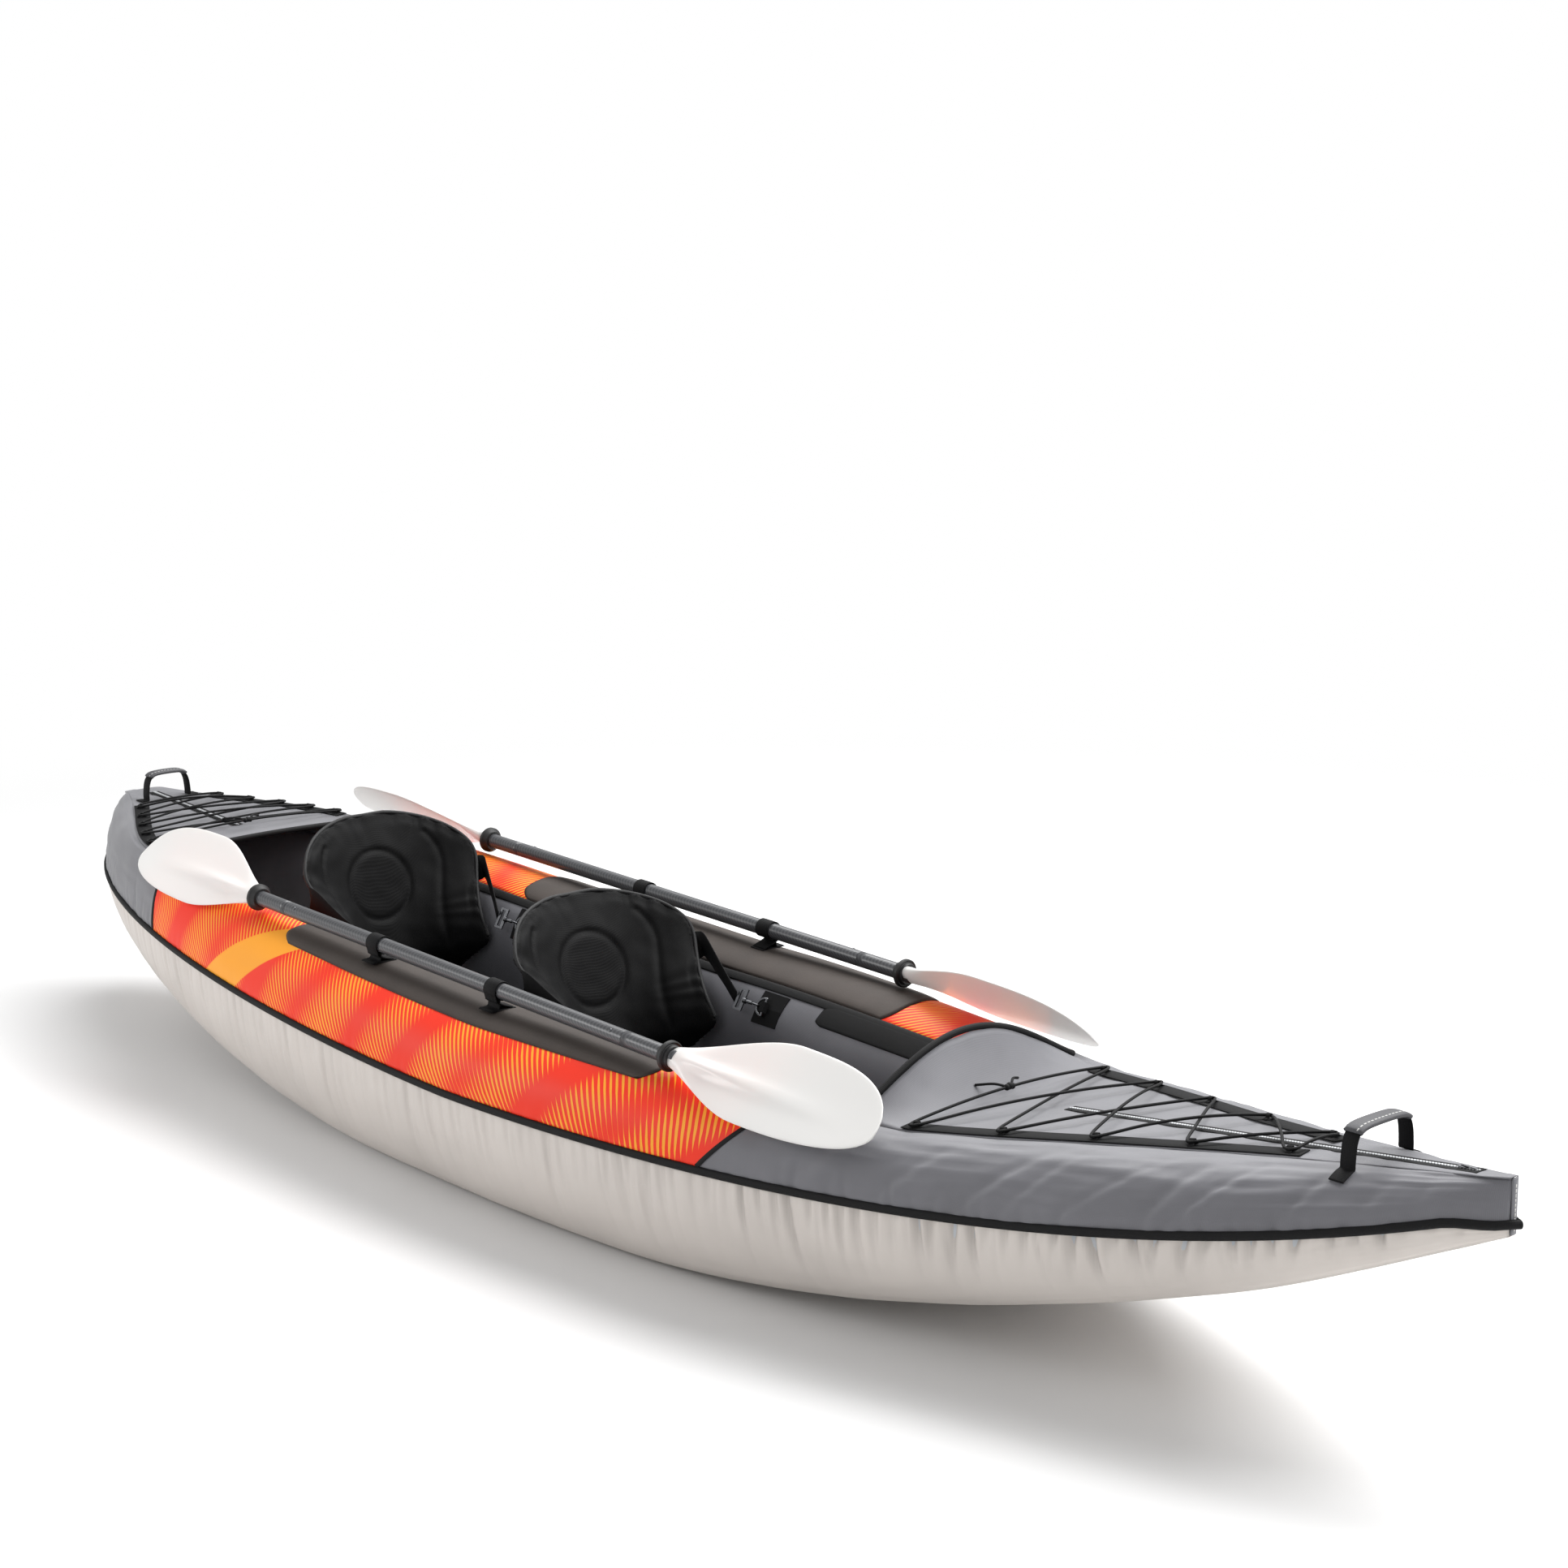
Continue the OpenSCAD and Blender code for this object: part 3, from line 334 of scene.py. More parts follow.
def new_material(name):
    """An empty node material with a Principled shader, and its tree."""
    mat = bpy.data.materials.new(name)
    mat.use_nodes = True
    return mat, mat.node_tree, mat.node_tree.nodes["Principled BSDF"]


def add(tree, kind, links=(), **settings):
    """Add a node with its settings, and link (input, socket) pairs to it. Numbered settings are inputs."""
    made = tree.nodes.new(kind)
    for key, value in settings.items():
        if key.startswith("in_"):
            made.inputs[int(key[3:])].default_value = value
        else:
            setattr(made, key, value)
    for socket, source in links:
        tree.links.new(source, made.inputs[socket])
    return made


def dial(made, values):
    """Set a node's inputs by their names."""
    for key, value in values.items():
        made.inputs[key].default_value = value
    return made


def maths(tree, operation, *terms):
    """A maths node over sockets and numbers, as its output."""
    made = add(tree, "ShaderNodeMath", operation=operation)
    for k, term in enumerate(terms):
        if isinstance(term, (int, float)):
            made.inputs[k].default_value = term
        else:
            tree.links.new(term, made.inputs[k])
    return made.outputs[0]


def shade(colour, by):
    """A colour made darker or lighter, with alpha."""
    return tuple(min(1.0, c * by) for c in colour[:3]) + (1.0,)


def tones(colour, *stops):
    """Stops of a ramp over one colour, from (place, darker or lighter by) pairs."""
    return [(place, shade(colour, by)) for place, by in stops]


def ramp(tree, source, stops):
    """A colour ramp over a value, with (place, colour) stops."""
    made = add(tree, "ShaderNodeValToRGB", [(0, source)])
    bar = made.color_ramp.elements
    bar[0].position, bar[0].color = stops[0]
    bar[1].position, bar[1].color = stops[-1]
    for place, colour in stops[1:-1]:
        bar.new(place).color = colour
    return made.outputs[0]


def object_coords(tree):
    """Object coordinates in metres."""
    return add(tree, "ShaderNodeTexCoord").outputs["Object"]


def uv_coords(tree):
    """The piece's own map in metres along and across the cloth."""
    return add(tree, "ShaderNodeTexCoord").outputs["UV"]


def grainy(tree, where, scale, detail=3.0):
    """Noise of a given scale, as a value."""
    made = add(tree, "ShaderNodeTexNoise", [("Vector", where)])
    return dial(made, {"Scale": scale, "Detail": detail}).outputs["Fac"]


def dented(tree, shader, height, strength, distance=0.0005):
    """Feed a height to the shader's normal."""
    made = add(tree, "ShaderNodeBump", [("Height", height)])
    dial(made, {"Strength": strength, "Distance": distance})
    tree.links.new(made.outputs[0], shader.inputs["Normal"])


def woven(name, colour, thread_mm, roughness, sheen, depth, uses_uv=True, spread=0.3, gloss=0.4):
    """Plain-weave cloth: threads cross as fine ribs, and the dye varies softly over it."""
    mat, tree, shader = new_material(name)
    where = uv_coords(tree) if uses_uv else object_coords(tree)
    ribs = []
    for direction in ("X", "Y"):
        wave = add(tree, "ShaderNodeTexWave", [("Vector", where)], bands_direction=direction)
        dial(wave, {"Scale": 2 * math.pi / (20 * thread_mm / 1000), "Distortion": 0.4})
        ribs.append(wave.outputs["Fac"])
    weave = maths(tree, "MULTIPLY", *ribs)
    dye = grainy(tree, object_coords(tree), 9.0, 5.0)
    tone = maths(tree, "MULTIPLY_ADD", weave, 0.25, maths(tree, "MULTIPLY_ADD", dye, 0.5, 0.2))
    tint = ramp(tree, tone, tones(colour, (0.25, 1 - spread), (0.55, 1.0), (0.95, 1 + spread)))
    tree.links.new(tint, shader.inputs["Base Color"])
    dented(tree, shader, weave, depth)
    dial(shader, {"Roughness": roughness, "Sheen Weight": sheen, "Specular IOR Level": gloss})
    return mat


def moulded(name, colour, roughness, grain_mm, depth, metallic=0.0, spread=0.12):
    """Moulded or cast surface: a fine grain with faint cloudiness, duller in its hollows."""
    mat, tree, shader = new_material(name)
    where = object_coords(tree)
    grain = grainy(tree, where, 1000 / grain_mm)
    tint = ramp(tree, grainy(tree, where, 14.0, 4.0), tones(colour, (0.3, 1 - spread), (0.7, 1 + spread)))
    tree.links.new(tint, shader.inputs["Base Color"])
    dull = add(tree, "ShaderNodeMapRange", [("Value", grain)])
    dial(dull, {"To Min": roughness - 0.06, "To Max": roughness + 0.08})
    tree.links.new(dull.outputs[0], shader.inputs["Roughness"])
    dented(tree, shader, grain, depth)
    dial(shader, {"Metallic": metallic})
    return mat


def thin_plastic(name, colour, roughness, through):
    """Thin moulded plastic: a faint gloss, and a share of the light that comes through from behind."""
    mat, tree, shader = new_material(name)
    grain = grainy(tree, object_coords(tree), 600.0)
    dial(shader, {"Base Color": shade(colour, 1.0), "Roughness": roughness, "Coat Weight": 0.15})
    dented(tree, shader, grain, 0.04)
    glow = dial(add(tree, "ShaderNodeBsdfTranslucent"), {"Color": shade(colour, 1.0)})
    both = add(tree, "ShaderNodeMixShader", [(1, shader.outputs[0]), (2, glow.outputs[0])], in_0=through)
    tree.links.new(both.outputs[0], tree.nodes["Material Output"].inputs["Surface"])
    return mat


def coated_pvc(colour):
    """Light grey PVC-coated polyester: smooth, with soft scuffs, and painted shade that darkens its folds."""
    mat, tree, shader = new_material("coated PVC fabric, calendered")
    where = object_coords(tree)
    scuff = grainy(tree, where, 5.0, 6.0)
    tint = ramp(tree, scuff, tones(colour, (0.3, 0.92), (0.55, 1.0), (0.8, 1.06)))
    # Painted shade: ambient occlusion darkens the base colour in the folds and gathers, towards 0.35 of the
    # colour.
    fold_shade = add(tree, "ShaderNodeAmbientOcclusion", samples=8, only_local=True)
    fold_shade.inputs["Distance"].default_value = 0.02
    shaded = add(tree, "ShaderNodeMix", data_type="RGBA")
    tree.links.new(maths(tree, "POWER", fold_shade.outputs["AO"], 2.0), shaded.inputs["Factor"])
    tree.links.new(tint, shaded.inputs["B"])
    # Colour of the deepest painted shade in the folds.
    shaded.inputs["A"].default_value = shade(colour, 0.35)
    tree.links.new(shaded.outputs["Result"], shader.inputs["Base Color"])
    dented(tree, shader, grainy(tree, where, 700.0), 0.12)
    dial(shader, {"Roughness": 0.45, "Specular IOR Level": 0.35})
    return mat


def striped_nylon(red, amber, pitch):
    """Printed nylon oxford: slanted amber pinstripes on red that swell and thin, and a plain amber band."""
    mat, tree, shader = new_material("printed nylon oxford, striped")
    where = uv_coords(tree)
    split = add(tree, "ShaderNodeSeparateXYZ", [(0, where)])
    along, across = split.outputs[0], split.outputs[1]
    slant = maths(tree, "MULTIPLY_ADD", across, 0.85, along)
    line = maths(tree, "SINE", maths(tree, "MULTIPLY", slant, 2 * math.pi / pitch))
    # Broad bands lean the other way and wander a little
    wander = grainy(tree, where, 4.0, 2.0)
    lean = maths(tree, "MULTIPLY_ADD", across, -0.45, along)
    moved = maths(tree, "MULTIPLY_ADD", wander, 0.07, lean)
    band = maths(tree, "SINE", maths(tree, "MULTIPLY", moved, 2 * math.pi / 0.19))
    swell = maths(tree, "SINE", maths(tree, "MULTIPLY", moved, 2 * math.pi / 0.47))
    # A stripe is as wide as the band lets it be, with a soft edge
    swelling = maths(tree, "MULTIPLY", swell, 0.2)
    width = maths(tree, "ADD", maths(tree, "MULTIPLY_ADD", band, 0.5, -0.68), swelling)
    edge = add(tree, "ShaderNodeMapRange", [("Value", maths(tree, "ADD", line, width))])
    dial(edge, {"From Min": -0.15, "From Max": 0.15})
    # One plain amber band leans forward under the pad
    far = maths(tree, "ABSOLUTE", maths(tree, "ADD", maths(tree, "MULTIPLY_ADD", across, -1.3, along), 0.66))
    plain = add(tree, "ShaderNodeMapRange", [("Value", far)])
    dial(plain, {"From Min": 0.072, "From Max": 0.068})
    heat = maths(tree, "MAXIMUM", edge.outputs[0], plain.outputs[0])
    warm = tuple((a + b) / 2 for a, b in zip(red, amber))
    tint = ramp(tree, heat, tones(red, (0.0, 1.0)) + tones(warm, (0.5, 1.0)) + tones(amber, (1.0, 1.0)))
    tree.links.new(tint, shader.inputs["Base Color"])
    dented(tree, shader, grainy(tree, object_coords(tree), 900.0), 0.15)
    dial(shader, {"Roughness": 0.5, "Specular IOR Level": 0.3})
    return mat


def carbon_tube(colour):
    """Wrapped carbon and glass tube under lacquer: dark grey twill with a hard gloss."""
    mat, tree, shader = new_material("wrapped carbon tube, lacquered")
    turn = add(tree, "ShaderNodeMapping", [("Vector", object_coords(tree))])
    turn.inputs["Rotation"].default_value = (0.6, 0.3, 0.9)
    twill = add(tree, "ShaderNodeTexWave", [("Vector", turn.outputs[0])])
    dial(twill, {"Scale": 60.0, "Distortion": 1.0})
    tint = ramp(tree, twill.outputs["Fac"], tones(colour, (0.2, 0.7), (0.8, 1.3)))
    tree.links.new(tint, shader.inputs["Base Color"])
    dial(shader, {"Roughness": 0.42, "Coat Weight": 0.25, "Coat Roughness": 0.2})
    return mat


def stitched_rubber(colour):
    """Grey rubber sleeve with a row of pale running stitches along each edge."""
    mat, tree, shader = new_material("rubber sleeve, moulded and stitched")
    where = uv_coords(tree)
    split = add(tree, "ShaderNodeSeparateXYZ", [(0, where)])
    stitch = maths(tree, "FRACT", maths(tree, "DIVIDE", split.outputs[0], 0.008))
    dash = maths(tree, "GREATER_THAN", stitch, 0.4)
    rows = []
    for at in (0.0105, 0.0335):
        away = maths(tree, "ABSOLUTE", maths(tree, "SUBTRACT", split.outputs[1], at))
        rows.append(maths(tree, "LESS_THAN", away, 0.0011))
    shown = maths(tree, "MULTIPLY", dash, maths(tree, "MAXIMUM", *rows))
    grain = grainy(tree, object_coords(tree), 500.0)
    base = ramp(tree, grain, tones(colour, (0.3, 0.85), (0.7, 1.15)))
    mixed = add(tree, "ShaderNodeMix", data_type="RGBA")
    tree.links.new(shown, mixed.inputs["Factor"])
    tree.links.new(base, mixed.inputs["A"])
    mixed.inputs["B"].default_value = linear("#B9B9B6")
    tree.links.new(mixed.outputs["Result"], shader.inputs["Base Color"])
    dented(tree, shader, grain, 0.3)
    shader.inputs["Roughness"].default_value = 0.6
    return mat


def make_finishes():
    """All finishes by a plain key, from the colours that the user can change."""
    tint = bpy.context.scene.kayak_colours
    size = sizes()
    slate, black, foam = tuple(tint.slate), tuple(tint.black), tuple(tint.foam)
    return {
        "pvc": coated_pvc(tuple(tint.lower_hull)),
        "print": striped_nylon(tuple(tint.stripe_red), tuple(tint.stripe_amber), size.stripe_pitch),
        "slate": woven("nylon oxford, slate, woven", slate, 2.2, 0.5, 0.22, 0.25, spread=0.22),
        "inner": woven("nylon oxford, slate lining, woven", shade(slate, 0.95), 2.2, 0.55, 0.05, 0.25,
                       spread=0.22),
        "webbing": woven("polyester webbing, black, woven", black, 3.0, 0.7, 0.0, 0.6, gloss=0.15),
        "binding": woven("binding tape, black, woven", shade(black, 0.9), 3.0, 0.65, 0.0, 0.5, gloss=0.2),
        "cord": woven("elastic cord, braided", shade(black, 0.8), 2.4, 0.6, 0.0, 0.9, gloss=0.2),
        "seat": woven("padded nylon, black, woven", shade(black, 0.6), 1.8, 0.6, 0.0, 0.5, uses_uv=False,
                      gloss=0.16),
        "edge": woven("seat piping, woven", shade(black, 1.3), 2.0, 0.6, 0.0, 0.5),
        "pad": moulded("EVA foam, pressed", foam, 0.72, 2.5, 0.5),
        "floor": moulded("coated PVC floor, calendered", shade(slate, 0.4), 0.5, 1.5, 0.3),
        "rubber": moulded("rubber, moulded", black, 0.55, 1.2, 0.3),
        "blade": thin_plastic("polypropylene, white, moulded", tuple(tint.blade), 0.3, 0.25),
        "tube": carbon_tube(tuple(tint.shaft)),
        "grip": stitched_rubber(shade(slate, 0.4)),
        "steel": moulded("stainless steel, polished", linear("#66676A"), 0.38, 0.8, 0.1, metallic=1.0),
        "plastic": moulded("acetal, black, moulded", shade(black, 1.6), 0.42, 1.0, 0.2),
        "white_plastic": moulded("acetal, white, moulded", linear("#DCDCDA"), 0.4, 1.0, 0.2),
        "teeth": moulded("nylon zip coil, pale grey", linear("#C9CBCE"), 0.35, 1.0, 0.3),
        "thread": moulded("sewing thread, white", linear("#D8D6D2"), 0.6, 1.0, 0.3),
        "film": moulded("polyurethane film, welded", linear("#B1B5BA"), 0.4, 2.0, 0.1),
    }


FINISH = {}


def sizes():
    """The sizes that the user can change."""
    return bpy.context.scene.kayak_sizes


# Hull skins


def make_skin(name, node, sides, span, angles, shape, look, mesh, rests_on):
    """A tailored skin over the tube between two stations and two angles, on one side or both."""
    (x0, x1), (a0, a1) = span, angles
    bm = bmesh.new()
    for side in sides:
        def place(s, t, side=side):
            a = mix(a0, a1, t)
            x = lean_x(mix(x0, x1, s), a)
            return on_side(hull(x, a, shape(x, a)), side)

        def spread(s, t):
            return (mix(x0, x1, s), (t - 0.5) * math.radians(abs(a1 - a0)) * 0.14)

        grid(bm, *mesh, place, flip=side > 0, uv=spread)
    finish, slot = look
    obj = keep(bm, name, FINISH[finish], nodes=(node,))
    thicken(obj, sizes().cloth)


def chance(k, seed):
    """A repeatable number from 0 to 1."""
    f = math.sin(k * 127.1 + seed * 311.7) * 43758.5453
    return f - math.floor(f)


def pleats(x, a, cell, seed):
    """Sewn-in gathers, one to each cell along the seam and no two alike: 0 to about 1.5."""
    first = math.floor(x / cell)
    out = 0.0
    for k in (first - 1, first, first + 1):
        p, q, r = chance(k, seed), chance(k, seed + 1), chance(k, seed + 2)
        d = (x - (k + 0.25 + 0.5 * p) * cell - (q - 0.5) * 0.0007 * a) / (cell * mix(0.17, 0.3, q))
        if abs(d) < 3:
            out += mix(0.35, 1.0, r) * math.exp(-d * d) * math.exp(-((a / mix(12, 36, r)) ** 2))
    return out


def gathered(x, a):
    """Lower side: gathers that hang from the seam, stronger at the bow, and a welt along the chine there."""
    deep = sizes().gather * mix(0.5, 1.15, ease(-0.2, 1.3, x)) * ease(0, 0.09, half_beam(x))
    out = -1.8 * deep * pleats(x, a, 0.034, 3.0) - 0.6 * deep * pleats(x, a, 0.017, 8.0)
    welt = 0.003 * math.exp(-(((a + 80) / 3.2) ** 2)) * ease(0.5, 1.1, abs(x)) * ease(0, 0.05, half_beam(x))
    return out + welt + 0.0009 * crinkle((x, a / 60, 0), 0.12)


def taut(x, a):
    """Printed panel: taut, with small puckers at the seam."""
    return 0.0006 * crinkle((x, a / 50, 2), 0.15) - 0.0013 * pleats(x, 2.5 * a, 0.03, 5.0)


# Creases of the bow cover: place, slant per degree, width, depth
BOW_CREASES = ((0.86, 0.0011, 0.02, 0.004), (1.02, 0.0016, 0.016, 0.004), (1.17, 0.0018, 0.015, 0.006),
               (1.24, 0.0014, 0.012, 0.004), (1.34, 0.0022, 0.013, 0.004), (1.46, 0.0011, 0.014, 0.006),
               (1.51, 0.0016, 0.011, 0.005), (1.66, 0.0008, 0.012, 0.005), (1.76, 0.0005, 0.014, 0.005),
               (1.83, 0.0002, 0.011, 0.004))


def creased(x, a):
    """Bow and stern covers: creases that run up from the seam, and soft dents."""
    slim = ease(0, 0.1, half_beam(x))
    out = -0.0022 * pleats(x, 1.4 * a, 0.032, 6.0) * slim
    out += 0.003 * crinkle((x, a / 70, 5), 0.09) * ease(0.5, 1.3, abs(x)) * slim
    for place, slant, width, depth in BOW_CREASES:
        d = (x - place - slant * (a - 20)) / width
        if abs(d) < 3.5:
            fade = math.exp(-(((a - 30) / 30) ** 2)) * slim
            out -= 0.45 * depth * fade * (math.exp(-d * d) - 0.6 * math.exp(-((d - 1.5) ** 2)))
    return max(-0.0075, min(out, 0.0032))


def inflated(x, a):
    """Inner wall: held round by the tube, with faint dents."""
    return 0.0008 * crinkle((x, a / 40, 9), 0.13)


def make_bottom():
    """Flat bottom panel, a little puffed, closed by the lower sides."""
    bm = bmesh.new()

    def place(s, t):
        x = mix(-COVER_END, COVER_END, s)
        y = mix(-1, 1, t) * CHINE * half_beam(x)
        return Vector((x, y, keel_z(x) + 0.0008 * (1 - abs(2 * t - 1) ** 6)))

    grid(bm, 220, 16, place, flip=True, uv=lambda s, t: (4 * s, 0.6 * t))
    obj = keep(bm, "bottom_skin", FINISH["pvc"], nodes=("bottom_panel",))
    thicken(obj, sizes().cloth, 1.0)


def make_hull_skins():
    """All the skins of the hull."""
    make_bottom()
    whole = (-COVER_END, COVER_END)
    panel = (STERN_PANEL_X, BOW_PANEL_X)
    for side, word in SIDES:
        for part, node, *rest in (
            ("lower", "lower_side", whole, (-90, -0.5), gathered, ("pvc", "light_grey_pvc"), (1000, 32)),
            ("striped", "side_panel", panel, (0.5, 128), taut, ("print", "striped_cover"), (380, 24)),
            ("inner", "inner_wall", whole, (127.5, 250), inflated, ("inner", "slate_fabric"), (200, 22)),
        ):
            make_skin(f"{word}_{part}_skin", f"{word}_{node}", (side,), *rest, [f"{word}_bladder"])
    for part, span, mesh in (
        ("bow", (BOW_PANEL_X, COVER_END), (330, 36)),
        ("stern", (-COVER_END, STERN_PANEL_X), (190, 32)),
    ):
        make_skin(f"{part}_skin", f"{part}_cover", (-1, 1), span, (0.5, 128), creased,
                  ("slate", "slate_fabric"), mesh, BLADDERS)


def make_bladders():
    """Air bladders inside the tubes, a little under their size so that the covers can crease."""
    for side, word in SIDES:
        bm = bmesh.new()

        def place(s, t, side=side):
            x = mix(-BLADDER_END, BLADDER_END, s)
            return on_side(hull(x, 360 * t, -min(0.009, 0.3 * half_beam(x))), side)

        grid(bm, 120, 30, place, flip=side > 0)
        bmesh.ops.remove_doubles(bm, verts=bm.verts[:], dist=MERGE)
        bmesh.ops.holes_fill(bm, edges=[e for e in bm.edges if e.is_boundary], sides=0)
        closed(bm)
        keep(bm, f"{word}_air_bladder", FINISH["film"], nodes=(f"{word}_bladder",))


def make_floor():
    """Inflated floor: five lengthwise tubes between its sewn beams."""
    low, high = (Vector(c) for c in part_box("inflatable_floor"))
    bm = bmesh.new()

    def place(s, t, top):
        x = mix(low.x + 0.004, high.x - 0.004, s)
        v = 2 * t - 1
        w = min(0.166, wall_y(x) - 0.004, CHINE * half_beam(x) - 0.01)
        beam = abs(math.sin(2.5 * math.pi * v)) ** 0.5
        end = min(1.0, 40 * (1 - abs(2 * s - 1)))
        side = max(0.0, 1 - abs(v) ** 5) ** 0.5
        half = 0.0495 * math.sqrt(end) * side
        crease = 0.006 * (1 - beam) * (1 if abs(v) < 0.9 else 0)
        z = keel_z(x) + 0.0019 + 0.05
        return Vector((x, v * w, z + (half - crease if top else -half)))

    grid(bm, 150, 60, lambda s, t: place(s, t, True))
    grid(bm, 150, 60, lambda s, t: place(s, t, False), flip=True)
    closed(bm)
    obj = keep(bm, "floor_tubes", FINISH["floor"], nodes=("inflatable_floor",))


def make_seam_piping():
    """Black piping that covers the side seam all round, doubled over a cord."""
    n = 160
    shares = [-1 + 2 * k / n for k in range(n + 1)]
    xs = [COVER_END * (0.6 * u + 0.4 * math.sin(math.pi / 2 * u)) for u in shares]
    aft_to_bow = [Vector((x, -half_beam(x), seam_z(x))) for x in xs]
    bow_to_aft = [Vector((x, half_beam(x), seam_z(x))) for x in reversed(xs)]
    nose, tail = (Vector((end * TIP_X, 0, seam_z(end * HALF_L))) for end in (1, -1))
    path = aft_to_bow + [nose] + bow_to_aft + [tail]
    band = [(0.001, -0.007), (0.001, 0.007), (-0.0018, 0.0068), (-0.004, 0.005),
            (-0.0052, 0.0018), (-0.0052, -0.0018), (-0.004, -0.005), (-0.0018, -0.0068)]
    bm = bmesh.new()
    sweep(bm, path, band, loop=True)
    keep(bm, "seam_piping_cord", FINISH["binding"], nodes=("seam_piping",))


def make_end_bindings():
    """Folded tapes that close the covers at bow and stern, with their stitches."""
    tape = bmesh.new()
    thread = bmesh.new()
    for end in (-1, 1):
        x = end * COVER_END
        low, high = keel_z(x), crest_z(x)
        heights = [mix(low + 0.002, high + 0.001, k / 12) for k in range(13)]
        path = [Vector((end * (COVER_END + 0.0012), 0, z)) for z in heights]
        sweep(tape, path, strap_section(0.013, 0.003), side=(0, 1, 0))
        for k in range(int((high - 0.004 - (low + 0.006)) / 0.007)):
            z = low + 0.006 + 0.0035 + 0.007 * k
            block(thread, (0.0009, 0.0016, 0.0048), (end * (COVER_END + 0.0029), 0, z))
    closed(tape)
    keep(tape, "end_bindings", FINISH["slate"], nodes=("nose_bindings",))
    keep(thread, "end_stitches", FINISH["thread"])


def make_panel_bindings():
    """Black tape over the seams between the striped panels and the covers."""
    bm = bmesh.new()
    section = strap_section(0.009, 0.0014)
    for side in (-1, 1):
        for x0 in (BOW_PANEL_X, STERN_PANEL_X):
            angles = [mix(3, 126, k / 32) for k in range(33)]
            path = [on_side(hull(lean_x(x0, a), a, 0.0006), side) for a in angles]
            rings = []
            for p, (t, _, _) in zip(path, path_frames(path, False)):
                out = Vector((0, p.y - side * CHINE * half_beam(p.x), p.z - seam_z(p.x))).normalized()
                along = t.cross(out).normalized()
                rings.append([bm.verts.new(p + q[0] * along + q[1] * out) for q in section])
            skin_rings(bm, rings)
    closed(bm)
    keep(bm, "panel_bindings", FINISH["binding"])


def make_cockpit_tapes():
    """Black tape sewn over the edge between the tubes' covers and their cockpit walls."""
    bm = bmesh.new()
    for side in (-1, 1):
        def place(s, t, side=side):
            x, a = mix(STERN_DECK_X, BOW_DECK_X, s), mix(126.5, 134.5, t)
            return on_side(hull(x, a, 0.0011 + 0.0008 * math.sin(math.pi * t)), side)

        grid(bm, 160, 6, place, flip=side > 0, uv=lambda s, t: (2.2 * s, 0.022 * t))
    obj = keep(bm, "cockpit_tapes", FINISH["binding"])
    thicken(obj, 0.0008)


# Decks


def make_deck(name, node, x0, x1, nu):
    """A deck of cloth that spans the tubes, with soft creases from its lacing."""
    bm = bmesh.new()

    def place(s, t):
        x = mix(x0, x1, s)
        v = mix(-1, 1, t)
        y = v * (crest_y(x) + 0.007)
        edge = 1 - abs(v) ** 6
        fall = 0.0017 * abs(v) ** 14
        dent = 0.0022 * crinkle((x, y, 1), 0.06) + 0.0016 * crinkle((x, y, 4), 0.025)
        return Vector((x, y, deck_z(x, v) - fall + edge * min(dent, 0.0006)))

    grid(bm, nu, 36, place, uv=lambda s, t: (mix(x0, x1, s), 0.5 * t))
    obj = keep(bm, name, FINISH["slate"], nodes=(node,))
    thicken(obj, sizes().cloth)


def make_coamings():
    """Padded black edges of the decks round the cockpit."""
    bm = bmesh.new()
    for x in (BOW_DECK_X, STERN_DECK_X):
        out = x + (-0.005 if x > 0 else 0.005)
        points = []
        for k in range(-24, 25):
            v = k / 24
            points.append(Vector((out, v * (crest_y(x) + 0.006), deck_z(x, v) + 0.004)))
        sweep(bm, points, circle_section(0.012, 12))
    closed(bm)
    keep(bm, "coaming_tape", FINISH["binding"], nodes=("deck_coamings",))


BOW_LACE = (0.985, 1.595)
STERN_LACE = (-1.415, -1.705)
LOOPS = 5
CORD_LIFT = 0.008
CORD_ARCH = 0.004
WEBBING_TOP = 0.0024
TOOTH_PITCH = 0.0052


def deck_top(x):
    """Height of the deck's cloth on the webbing lines."""
    return crest_z(x) + DECK_LIFT


def make_webbing():
    """Webbing sewn along the deck edges, rising a little at each cord loop."""
    bm = bmesh.new()
    for side in (-1, 1):
        for lace in (BOW_LACE, STERN_LACE):
            end = 0.022 * (1 if lace[1] > lace[0] else -1)
            path = []
            for k in range(121):
                x = mix(lace[0] - end, lace[1] + end, k / 120)
                share = (x - lace[0]) / (lace[1] - lace[0])
                bump = max(0.0, math.cos(math.pi * (share * (LOOPS - 1)))) ** 2
                path.append(Vector((x, side * (crest_y(x) - 0.0145), deck_top(x) + 0.0013 + 0.0004 * bump)))
            sweep(bm, path, strap_section(0.034, 0.0017))
    closed(bm)
    keep(bm, "deck_webbing_tape", FINISH["webbing"], nodes=("deck_webbing",))


def lace_at(lace, i, side, shift):
    """A point of the cord in its loop."""
    x = mix(lace[0], lace[1], i / (LOOPS - 1)) + shift
    return Vector((x, side * (crest_y(x) - 0.0125), deck_top(x) + CORD_LIFT))


def lace_route(lace):
    """The closed route of a bungee: out in a zigzag, across, and home over itself."""
    way = 0.009 if lace[1] > lace[0] else -0.009
    stops = []
    for i in range(LOOPS):
        side = -1 if i % 2 == 0 else 1
        stops += [lace_at(lace, i, side, -way), lace_at(lace, i, side, way)]
    for i in reversed(range(LOOPS)):
        side = 1 if i % 2 == 0 else -1
        stops += [lace_at(lace, i, side, way), lace_at(lace, i, side, -way)]
    route = []
    m = len(stops)
    for i in range(m):
        route.append(stops[i])
        if i % 2 == 1:
            lift = CORD_ARCH + (0.006 if i < 2 * LOOPS - 2 else 0.009 if i == m - 1 else 0.0)
            a, b = stops[i], stops[(i + 1) % m]
            for u in (0.25, 0.5, 0.75):
                route.append(a.lerp(b, u) + Vector((0, 0, lift * (1 - abs(2 * u - 1) ** 2))))
    return route


